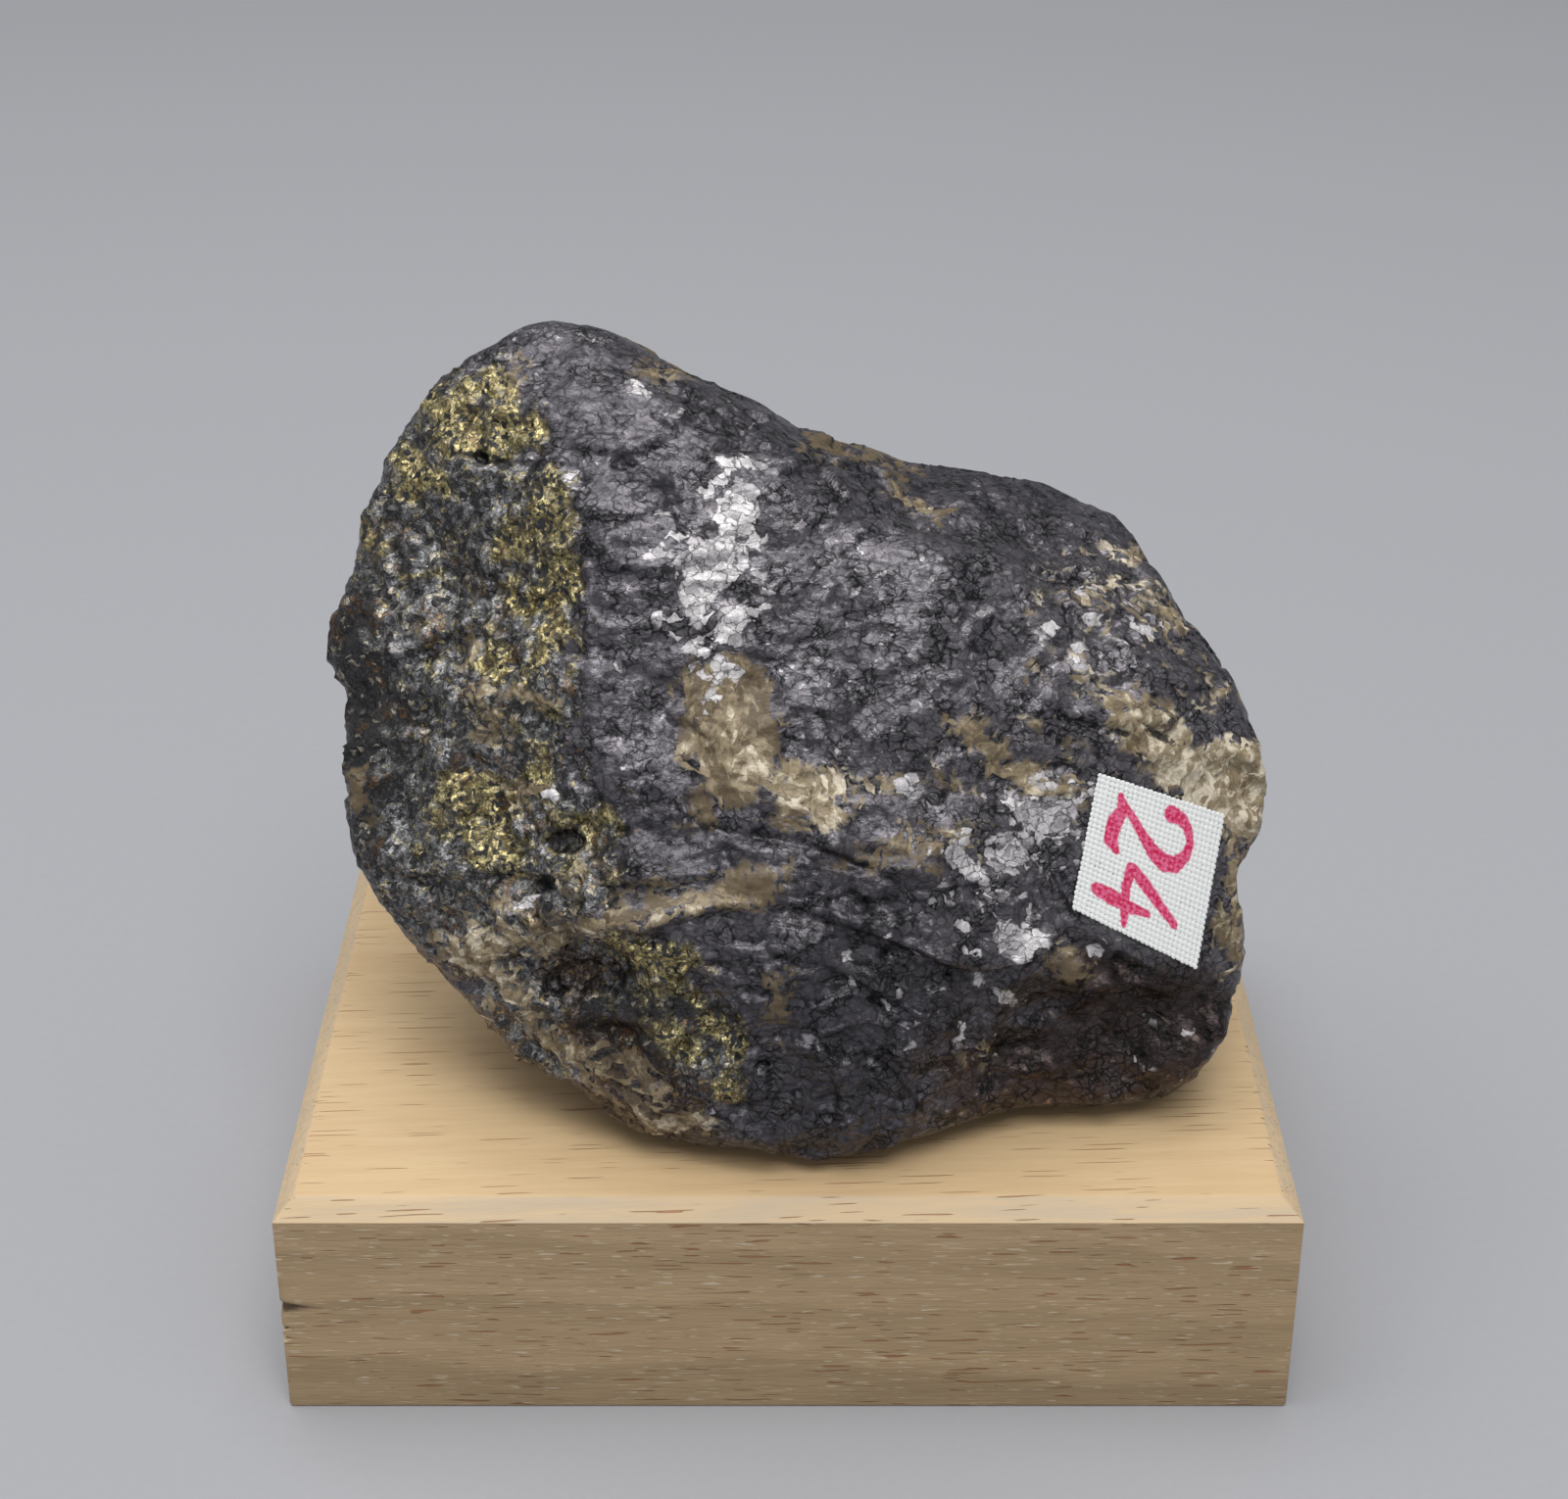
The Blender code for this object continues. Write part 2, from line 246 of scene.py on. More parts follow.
class Graph:
    """Fills in a node tree, with one short call for each kind of node."""

    def __init__(self, tree: NodeTree) -> None:
        """Start on a tree."""
        self.tree = tree

    def feed(self, socket: NodeSocket, value: object) -> None:
        """Link a socket to another, or set its value.

        Args:
            socket: the input.
            value: another node's output, or a plain value.
        """
        if isinstance(value, NodeSocket):
            self.tree.links.new(value, socket)
        elif isinstance(value, tuple) and len(value) == 3 and socket.type == "RGBA":
            socket.default_value = (*value, 1.0)
        else:
            socket.default_value = value

    def node(self, kind: str, inputs: dict[str | int, object] | None = None, **settings: object) -> Node:
        """Add a node.

        Args:
            kind: its type after the word ShaderNode.
            inputs: what its input sockets are fed, by name or by number.
            settings: its own settings.

        Returns:
            The new node.
        """
        made = self.tree.nodes.new("ShaderNode" + kind)
        for name, value in settings.items():
            setattr(made, name, value)
        for name, value in (inputs or {}).items():
            self.feed(made.inputs[name], value)
        return made

    def math(self, operation: str, first: object, second: object = 0.0) -> NodeSocket:
        """A Math node's result.

        Args:
            operation: what it does.
            first: a number.
            second: another, where it takes two.

        Returns:
            The result.
        """
        made = self.node("Math", {0: first}, operation=operation)
        if len(made.inputs) > 1:
            self.feed(made.inputs[1], second)
        return made.outputs[0]

    def times(self, first: object, second: object) -> NodeSocket:
        """Two numbers multiplied."""
        return self.math("MULTIPLY", first, second)

    def plus(self, first: object, second: object) -> NodeSocket:
        """Two numbers added."""
        return self.math("ADD", first, second)

    def vector(self, operation: str, first: object, second: object = (0.0, 0.0, 0.0)) -> NodeSocket:
        """A Vector Math node's vector."""
        made = self.node("VectorMath", {0: first, 1: second}, operation=operation)
        return made.outputs["Vector"]

    def stretch(self, vector: object, factors: tuple[float, float, float]) -> NodeSocket:
        """A vector whose parts are multiplied one by one."""
        return self.vector("MULTIPLY", vector, factors)

    def nudge(self, vector: object, colour: object, amount: object) -> NodeSocket:
        """A vector moved by a random colour about mid grey.

        Args:
            vector: the vector.
            colour: the colour.
            amount: how far a full colour moves it.

        Returns:
            The moved vector.
        """
        centred = self.vector("SUBTRACT", colour, (0.5, 0.5, 0.5))
        moved = self.node("VectorMath", {0: centred, "Scale": amount}, operation="SCALE")
        return self.vector("ADD", vector, moved.outputs[0])

    def mix(self, share: object, first: object, second: object, blend: str = "MIX") -> NodeSocket:
        """A Mix node's colour.

        Args:
            share: how much of the second shows.
            first: a colour.
            second: another.
            blend: how they are laid over each other.

        Returns:
            The mixed colour.
        """
        made = self.node("Mix", data_type="RGBA", blend_type=blend)
        self.feed(made.inputs[0], share)
        self.feed(made.inputs[6], first)
        self.feed(made.inputs[7], second)
        return made.outputs[2]

    def ramp(
        self, tone: object, colours: tuple[Colour, Colour, Colour], at: tuple[float, float, float, float]
    ) -> NodeSocket:
        """A dark, a middle and a light colour by tone.

        Args:
            tone: the tone.
            colours: the three colours.
            at: where the middle one starts and is full, and where the light one starts and is full.

        Returns:
            The colour.
        """
        dark, mid, light = colours
        colour = self.mix(self.ease(tone, at[0], at[1]), dark, mid)
        return self.mix(self.ease(tone, at[2], at[3]), colour, light)

    def blend(self, share: object, first: object, second: object) -> NodeSocket:
        """A Mix node's vector."""
        made = self.node("Mix", {0: share, 4: first, 5: second}, data_type="VECTOR")
        return made.outputs[1]

    def ease(
        self, value: object, low: object, high: object, start: float = 0.0, end: float = 1.0
    ) -> NodeSocket:
        """A smooth Map Range from low to high."""
        inputs = {"Value": value, "From Min": low, "From Max": high, "To Min": start, "To Max": end}
        return self.node("MapRange", inputs, interpolation_type="SMOOTHSTEP").outputs[0]

    def noise(self, vector: object, scale: float, detail: float = 3.0, rough: float = 0.55) -> Node:
        """A Noise Texture node."""
        inputs = {"Vector": vector, "Scale": scale, "Detail": detail, "Roughness": rough}
        return self.node("TexNoise", inputs)

    def cells(self, vector: object, scale: float, feature: str = "F1") -> Node:
        """A Voronoi Texture node."""
        return self.node("TexVoronoi", {"Vector": vector, "Scale": scale}, feature=feature)

    def attribute(self, name: str) -> NodeSocket:
        """The number that a mesh holds under a name."""
        return self.node("Attribute", attribute_name=name).outputs["Fac"]

    def bump(self, height: object, depth_mm: float, normal: object | None = None) -> NodeSocket:
        """A Bump node's normal.

        Args:
            height: the height.
            depth_mm: how high a height of 1 stands.
            normal: the normal so far, where it isn't the mesh's own.

        Returns:
            The bumped normal.
        """
        inputs = {"Height": height, "Distance": depth_mm * MM, "Strength": 1.0}
        if normal is not None:
            inputs["Normal"] = normal
        return self.node("Bump", inputs).outputs["Normal"]


class Groups:
    """The node groups that the finishes share, each built once."""

    @staticmethod
    def _start(name: str, inputs: dict[str, str], outputs: dict[str, str]) -> tuple[Graph, Node, Node]:
        """A new group with its sockets.

        Args:
            name: the group's name.
            inputs: socket type by name.
            outputs: socket type by name.

        Returns:
            The group's graph, its input node and its output node.
        """
        tree = bpy.data.node_groups.new(name, "ShaderNodeTree")
        for word, kind in inputs.items():
            tree.interface.new_socket(name=word, in_out="INPUT", socket_type=kind)
        for word, kind in outputs.items():
            tree.interface.new_socket(name=word, in_out="OUTPUT", socket_type=kind)
        return Graph(tree), tree.nodes.new("NodeGroupInput"), tree.nodes.new("NodeGroupOutput")

    @classmethod
    @cache
    def leaning_place(cls) -> NodeTree:
        """Place on the stone in millimetres in its leaning frame.

        Returns:
            The group.
        """
        graph, _, out = cls._start("leaning place", {}, {"Place": VECTOR})
        place = graph.node("TexCoord").outputs["Object"]
        turned = graph.node("Mapping", {"Vector": place}, vector_type="TEXTURE")
        turned.inputs["Location"].default_value = LEANING.centre
        turned.inputs["Rotation"].default_value = (LEANING.tilt, 0.0, 0.0)
        turned.inputs["Scale"].default_value = (MM, MM, MM)
        graph.feed(out.inputs["Place"], turned.outputs[0])
        return graph.tree

    @classmethod
    @cache
    def wavering(cls) -> NodeTree:
        """A place shaken by soft noise, so that patterns on it don't run straight.

        Returns:
            The group.
        """
        sockets = {"Place": VECTOR, "Scale": NUMBER, "Amount": NUMBER}
        graph, given, out = cls._start("wavering", sockets, {"Place": VECTOR})
        shake = graph.noise(given.outputs["Place"], given.outputs["Scale"], 2.0)
        moved = graph.nudge(given.outputs["Place"], shake.outputs["Color"], given.outputs["Amount"])
        graph.feed(out.inputs["Place"], moved)
        return graph.tree

    @classmethod
    @cache
    def grainy_patch(cls) -> NodeTree:
        """A patch's mask from its depth in millimetres, which takes in whole grains at its edge.

        Returns:
            The group.
        """
        words = ("Depth", "Grain", "Grain Reach", "Softness")
        graph, given, out = cls._start("grainy patch", {word: NUMBER for word in words}, {"Mask": NUMBER})
        by_grain = graph.math("SUBTRACT", given.outputs["Grain"], 0.5)
        by_grain = graph.times(by_grain, given.outputs["Grain Reach"])
        depth = graph.plus(given.outputs["Depth"], by_grain)
        soft = given.outputs["Softness"]
        mask = graph.ease(depth, graph.times(soft, -1.0), soft)
        graph.feed(out.inputs["Mask"], mask)
        return graph.tree

    @classmethod
    @cache
    def crystal_grains(cls) -> NodeTree:
        """Grains with flat faces: for each a random number, a random shade and its own tilt.

        Returns:
            The group.
        """
        sockets = {"Place": VECTOR, "Scale": NUMBER, "Tilt": NUMBER, "Normal": VECTOR}
        outputs = {"Normal": VECTOR, "Random": NUMBER, "Shade": NUMBER, "Edge": NUMBER}
        graph, given, out = cls._start("crystal grains", sockets, outputs)
        cell = graph.cells(given.outputs["Place"], given.outputs["Scale"])
        edge = graph.cells(given.outputs["Place"], given.outputs["Scale"], "DISTANCE_TO_EDGE")
        tilted = graph.nudge(given.outputs["Normal"], cell.outputs["Color"], given.outputs["Tilt"])
        parts = graph.node("SeparateColor", {0: cell.outputs["Color"]})
        graph.feed(out.inputs["Normal"], graph.vector("NORMALIZE", tilted))
        graph.feed(out.inputs["Random"], parts.outputs[0])
        graph.feed(out.inputs["Shade"], parts.outputs[1])
        graph.feed(out.inputs["Edge"], edge.outputs["Distance"])
        return graph.tree

    @staticmethod
    def use(graph: Graph, tree: NodeTree, inputs: dict[str, object] | None = None) -> Node:
        """Place a group in a material and feed it.

        Args:
            graph: the material's graph.
            tree: the group.
            inputs: what its inputs are fed, by name.

        Returns:
            The group's node.
        """
        made = graph.tree.nodes.new("ShaderNodeGroup")
        made.node_tree = tree
        for name, value in (inputs or {}).items():
            graph.feed(made.inputs[name], value)
        return made

    @classmethod
    def wavered(cls, graph: Graph, place: object, scale: float, amount: float) -> NodeSocket:
        """A place, wavering."""
        inputs = {"Place": place, "Scale": scale, "Amount": amount}
        return cls.use(graph, cls.wavering(), inputs).outputs["Place"]

    @classmethod
    def grains(cls, graph: Graph, place: object, scale: float, tilt: float, normal: object) -> Node:
        """One size of grains, on top of the tilts so far."""
        inputs = {"Place": place, "Scale": scale, "Tilt": tilt, "Normal": normal}
        return cls.use(graph, cls.crystal_grains(), inputs)

    @classmethod
    def masked(cls, graph: Graph, name: str, grain: object, reach: float, soft: float) -> NodeSocket:
        """The mask of the patch whose depth a mesh holds under a name."""
        inputs = {"Depth": graph.attribute(name), "Grain": grain, "Grain Reach": reach, "Softness": soft}
        return cls.use(graph, cls.grainy_patch(), inputs).outputs["Mask"]


def new_material(name: str) -> tuple[Material, Graph, Node]:
    """A material with its Principled shader.

    Args:
        name: the material's name.

    Returns:
        The material, its graph and its shader.
    """
    made = bpy.data.materials.new(name)
    made.use_nodes = True
    return made, Graph(made.node_tree), made.node_tree.nodes["Principled BSDF"]


@dataclass(frozen=True)
class OreSurface:
    """The ore's place in millimetres and its four kinds of grain, and what they do to a tone."""

    graph: Graph
    place: NodeSocket
    plates: Node
    fine: Node
    lumps: Node
    blades: Node

    @classmethod
    def start(cls, graph: Graph) -> "OreSurface":
        """Lay out the grains, each kind on top of the tilts so far.

        Args:
            graph: the material's graph.

        Returns:
            The surface.
        """
        place = Groups.use(graph, Groups.leaning_place()).outputs["Place"]
        normal = graph.node("NewGeometry").outputs["Normal"]
        bent = Groups.wavered(graph, Groups.wavered(graph, place, 0.5, 1.8), 1.7, 0.7)
        plates = Groups.grains(graph, graph.stretch(bent, (0.80, 1.25, 1.0)), 0.88, 0.14, normal)
        drawn = graph.stretch(bent, (0.85, 1.25, 1.0))
        fine = Groups.grains(graph, drawn, 1.9, 0.0, plates.outputs["Normal"])
        upright = graph.stretch(bent, (1.15, 0.95, 1.0))
        lumps = Groups.grains(graph, upright, 1.9, 0.0, fine.outputs["Normal"])
        blades = cls._blades(graph, place, lumps.outputs["Normal"])
        return cls(graph, place, plates, fine, lumps, blades)

    @staticmethod
    def _blades(graph: Graph, place: object, normal: object) -> Node:
        """Carbonate blades that lie in a different direction every few millimetres.

        Args:
            graph: the material's graph.
            place: place on the stone in millimetres.
            normal: the normal so far.

        Returns:
            The blades' group node.
        """
        bent = Groups.wavered(graph, place, 0.6, 1.6)
        tuft = graph.node("SeparateColor", {0: graph.cells(bent, 0.30).outputs["Color"]})
        angle = graph.times(tuft.outputs[0], math.pi)
        turned = graph.node("VectorRotate", {"Vector": bent, "Angle": angle}, rotation_type="Z_AXIS")
        return Groups.grains(graph, graph.stretch(turned.outputs[0], (0.50, 1.6, 0.8)), 1.0, 0.0, normal)

    def shaded(self, tone: object, grains: Node, amount: float) -> NodeSocket:
        """A tone made a little lighter or darker for each grain."""
        shade = self.graph.math("SUBTRACT", grains.outputs["Shade"], 0.5)
        return self.graph.plus(tone, self.graph.times(shade, amount))

    def lined(self, colour: object, grains: Node, width: float, amount: object, line: Colour) -> NodeSocket:
        """A colour with thin lines between the grains, whose half width is a share of a grain."""
        near = self.graph.ease(grains.outputs["Edge"], width, width * 0.15)
        return self.graph.mix(self.graph.times(near, amount), colour, line)

    def rusted(self, amount: float) -> NodeSocket:
        """Share of rust on each lump, in the rusty places."""
        some = self.graph.ease(self.lumps.outputs["Shade"], 0.45, 0.70)
        return self.graph.times(self.graph.times(some, self.graph.attribute("rust")), amount)


@dataclass(frozen=True)
class OreFinish:
    """Dark flaky sulphide ore with carbonate, brassy grains and bright cleavage faces, whose brightness is
    partly their own paler colour and partly painted reflection.
    """

    ore_dark: Colour = (0.080, 0.074, 0.084)
    ore_mid: Colour = (0.138, 0.127, 0.141)
    ore_light: Colour = (0.205, 0.191, 0.204)
    # Painted glint colour.
    ore_glint: Colour = (0.52, 0.49, 0.50)
    crack: Colour = (0.010, 0.010, 0.011)
    grain_dark: Colour = (0.060, 0.059, 0.060)
    grain_light: Colour = (0.290, 0.286, 0.290)
    rust: Colour = (0.190, 0.100, 0.038)
    brass_dark: Colour = (0.200, 0.162, 0.075)
    brass_mid: Colour = (0.43, 0.350, 0.145)
    brass_light: Colour = (0.92, 0.79, 0.37)
    carbonate_dark: Colour = (0.120, 0.086, 0.046)
    carbonate_mid: Colour = (0.275, 0.214, 0.128)
    carbonate_light: Colour = (0.66, 0.58, 0.44)
    # Pale cleavage colour, made bright and diffuse as a painted reflection.
    mirror: Colour = (0.69, 0.655, 0.658)
    # Painted shade, brownish to stand in for light thrown back from the wood, multiplied over the hollows
    # and the underside.
    stain: Colour = (0.60, 0.47, 0.39)
    ripple_mm: float = 0.12

    def build(self) -> Material:
        """Make the material.

        Returns:
            The finished material.
        """
        material, graph, shader = new_material("ullmannite_ore")
        surface = OreSurface.start(graph)
        masks = self._masks(surface)
        graph.feed(surface.fine.inputs["Tilt"], graph.ease(masks[Mineral.MIRROR], 0.0, 1.0, 0.20, 0.06))
        graph.feed(surface.lumps.inputs["Tilt"], graph.times(masks[Mineral.BRASS], 0.9))
        graph.feed(surface.blades.inputs["Tilt"], graph.times(masks[Mineral.CARBONATE], 0.45))
        colour = self._ore_colour(surface)
        colour = graph.mix(masks[Mineral.GRANULAR], colour, self._granular_colour(surface))
        # Painted shade: the hollows and the underside darkened and browned.
        colour = graph.mix(masks[Mineral.PAINTED_SHADE], colour, self.stain, "MULTIPLY")
        colour = graph.mix(masks[Mineral.BRASS], colour, self._brass_colour(surface))
        colour = graph.mix(masks[Mineral.CARBONATE], colour, self._carbonate_colour(surface))
        # Cleavage faces: partly their own colour, partly painted reflection.
        colour = graph.mix(masks[Mineral.MIRROR], colour, self._cleavage_reflection_colour(surface))
        # Painted shade: the pits painted near-black.
        colour = graph.mix(graph.times(masks[Mineral.PIT], 0.9), colour, self.crack)
        graph.feed(shader.inputs["Base Color"], colour)
        self._gloss(surface, shader, masks)
        tilted = surface.blades.outputs["Normal"]
        flakes = graph.noise(graph.stretch(surface.place, (0.8, 1.4, 1.1)), 1.3, 4.0, 0.68).outputs["Fac"]
        rippled = graph.bump(flakes, self.ripple_mm, tilted)
        smooth = graph.times(masks[Mineral.MIRROR], 0.85)
        graph.feed(shader.inputs["Normal"], graph.blend(smooth, rippled, tilted))
        return material

    @staticmethod
    def _masks(surface: OreSurface) -> dict[Mineral, NodeSocket]:
        """The mask of each mineral, with whole grains at its edges.

        Args:
            surface: the ore's surface.

        Returns:
            Mask by mineral.
        """
        ways = {
            Mineral.CARBONATE: (surface.blades, 1.8, 0.45),
            Mineral.BRASS: (surface.lumps, 2.4, 0.60),
            Mineral.MIRROR: (surface.plates, 1.1, 0.12),
            Mineral.GRANULAR: (surface.lumps, 2.5, 0.40),
            Mineral.PAINTED_SHADE: (surface.lumps, 1.5, 1.60),
            Mineral.PIT: (surface.lumps, 0.2, 0.10),
        }
        return {
            mineral: Groups.masked(surface.graph, mineral.value, grains.outputs["Random"], reach, soft)
            for mineral, (grains, reach, soft) in ways.items()
        }

    def _ore_colour(self, surface: OreSurface) -> NodeSocket:
        """Slaty grey in flakes that run across, with broken dark cracks, small painted glints and painted
        highlights on the flakes' rims.

        Args:
            surface: the ore's surface.

        Returns:
            The colour.
        """
        graph, plates, fine = surface.graph, surface.plates, surface.fine
        tone = graph.noise(graph.stretch(surface.place, (0.65, 1.1, 0.9)), 0.9, 3.0, 0.6).outputs["Fac"]
        tone = graph.plus(tone, graph.attribute("tone"))
        tone = surface.shaded(surface.shaded(tone, plates, 0.10), fine, 0.18)
        colour = graph.ramp(tone, (self.ore_dark, self.ore_mid, self.ore_light), (0.22, 0.50, 0.52, 0.88))
        # Painted highlight along the flakes' rims, in the lighter places.
        rim = graph.times(graph.ease(plates.outputs["Edge"], 0.36, 0.18), graph.ease(tone, 0.40, 0.60))
        colour = graph.mix(graph.times(rim, 0.3), colour, self.ore_light)
        # Painted glints on a few small grains.
        glint = graph.times(graph.ease(fine.outputs["Random"], 0.92, 0.96), graph.ease(tone, 0.45, 0.62))
        colour = graph.mix(graph.times(glint, 0.75), colour, self.ore_glint)
        cracked = graph.attribute("cracked")
        wide = graph.ease(cracked, 0.0, 1.0, 0.50, 0.95)
        narrow = graph.ease(cracked, 0.0, 1.0, 0.18, 0.52)
        colour = surface.lined(colour, plates, 0.150, wide, self.crack)
        return surface.lined(colour, fine, 0.20, narrow, self.crack)

    def _granular_colour(self, surface: OreSurface) -> NodeSocket:
        """Blackish grains with paler grey, rusty and brassy ones between, in upright streaks.

        Args:
            surface: the ore's surface.

        Returns:
            The colour.
        """
        graph, fine, lumps = surface.graph, surface.fine, surface.lumps
        tone = graph.noise(graph.stretch(surface.place, (1.4, 0.6, 1.0)), 0.9, 4.0, 0.7).outputs["Fac"]
        tone = graph.plus(tone, graph.times(graph.attribute("tone"), 1.6))
        tone = surface.shaded(tone, fine, 0.34)
        colour = graph.mix(graph.ease(tone, 0.34, 0.68), self.grain_dark, self.grain_light)
        colour = graph.mix(surface.rusted(0.6), colour, self.rust)
        brassy = graph.times(graph.ease(lumps.outputs["Random"], 0.84, 0.88), graph.ease(tone, 0.42, 0.52))
        colour = graph.mix(graph.times(brassy, 0.7), colour, self.brass_mid)
        pale = graph.times(graph.ease(fine.outputs["Random"], 0.95, 0.97), 0.5)
        colour = graph.mix(pale, colour, self.carbonate_light)
        return surface.lined(colour, lumps, 0.18, 0.65, self.crack)

    def _brass_colour(self, surface: OreSurface) -> NodeSocket:
        """Brassy grains, olive and rusty in the hollows, with black gaps between.

        Args:
            surface: the ore's surface.

        Returns:
            The colour.
        """
        graph, fine, lumps = surface.graph, surface.fine, surface.lumps
        tone = surface.shaded(graph.noise(surface.place, 1.9, 3.0, 0.65).outputs["Fac"], fine, 0.44)
        colours = (self.brass_dark, self.brass_mid, self.brass_light)
        colour = graph.ramp(tone, colours, (0.26, 0.50, 0.54, 0.82))
        colour = graph.mix(surface.rusted(0.75), colour, self.rust)
        colour = graph.mix(graph.ease(lumps.outputs["Random"], 0.24, 0.20), colour, self.grain_dark)
        colour = surface.lined(colour, lumps, 0.16, 0.75, self.grain_dark)
        return surface.lined(colour, fine, 0.12, 0.50, self.grain_dark)

    def _carbonate_colour(self, surface: OreSurface) -> NodeSocket:
        """Tan blades, paler at some edges and brown between.

        Args:
            surface: the ore's surface.

        Returns:
            The colour.
        """
        graph, blades = surface.graph, surface.blades
        tone = graph.noise(surface.place, 0.8, 4.0, 0.65).outputs["Fac"]
        tone = graph.plus(tone, graph.times(graph.attribute("tone"), 2.4))
        tone = surface.shaded(tone, blades, 0.34)
        colours = (self.carbonate_dark, self.carbonate_mid, self.carbonate_light)
        colour = graph.ramp(tone, colours, (0.30, 0.52, 0.54, 0.80))
        return surface.lined(colour, blades, 0.10, 0.40, self.carbonate_dark)

    def _cleavage_reflection_colour(self, surface: OreSurface) -> NodeSocket:
        """Cleavage plates painted bright, partly their own paler colour and partly painted reflection, with
        dark cracks between them.

        Args:
            surface: the ore's surface.

        Returns:
            The colour.
        """
        tone = surface.shaded(surface.plates.outputs["Shade"], surface.fine, 0.35)
        colour = surface.graph.mix(surface.graph.ease(tone, -0.30, 0.70), self.ore_light, self.mirror)
        colour = surface.lined(colour, surface.fine, 0.14, 0.35, self.ore_dark)
        return surface.lined(colour, surface.plates, 0.080, 0.75, self.crack)

    @staticmethod
    def _gloss(surface: OreSurface, shader: Node, masks: dict[Mineral, NodeSocket]) -> None:
        """Metallic and roughness by mineral.

        Args:
            surface: the ore's surface.
            shader: the material's Principled shader.
            masks: mask by mineral.
        """
        graph = surface.graph
        metal = graph.math("SUBTRACT", 1.0, masks[Mineral.CARBONATE])
        metal = graph.times(metal, graph.ease(masks[Mineral.MIRROR], 0.0, 1.0, 0.70, 0.18))
        graph.feed(shader.inputs["Metallic"], metal)
        rough = graph.ease(surface.fine.outputs["Shade"], 0.0, 1.0, 0.27, 0.48)
        rough = graph.plus(rough, graph.times(masks[Mineral.CARBONATE], 0.18))
        rough = graph.plus(rough, graph.times(masks[Mineral.MIRROR], 0.08))
        graph.feed(shader.inputs["Roughness"], rough)


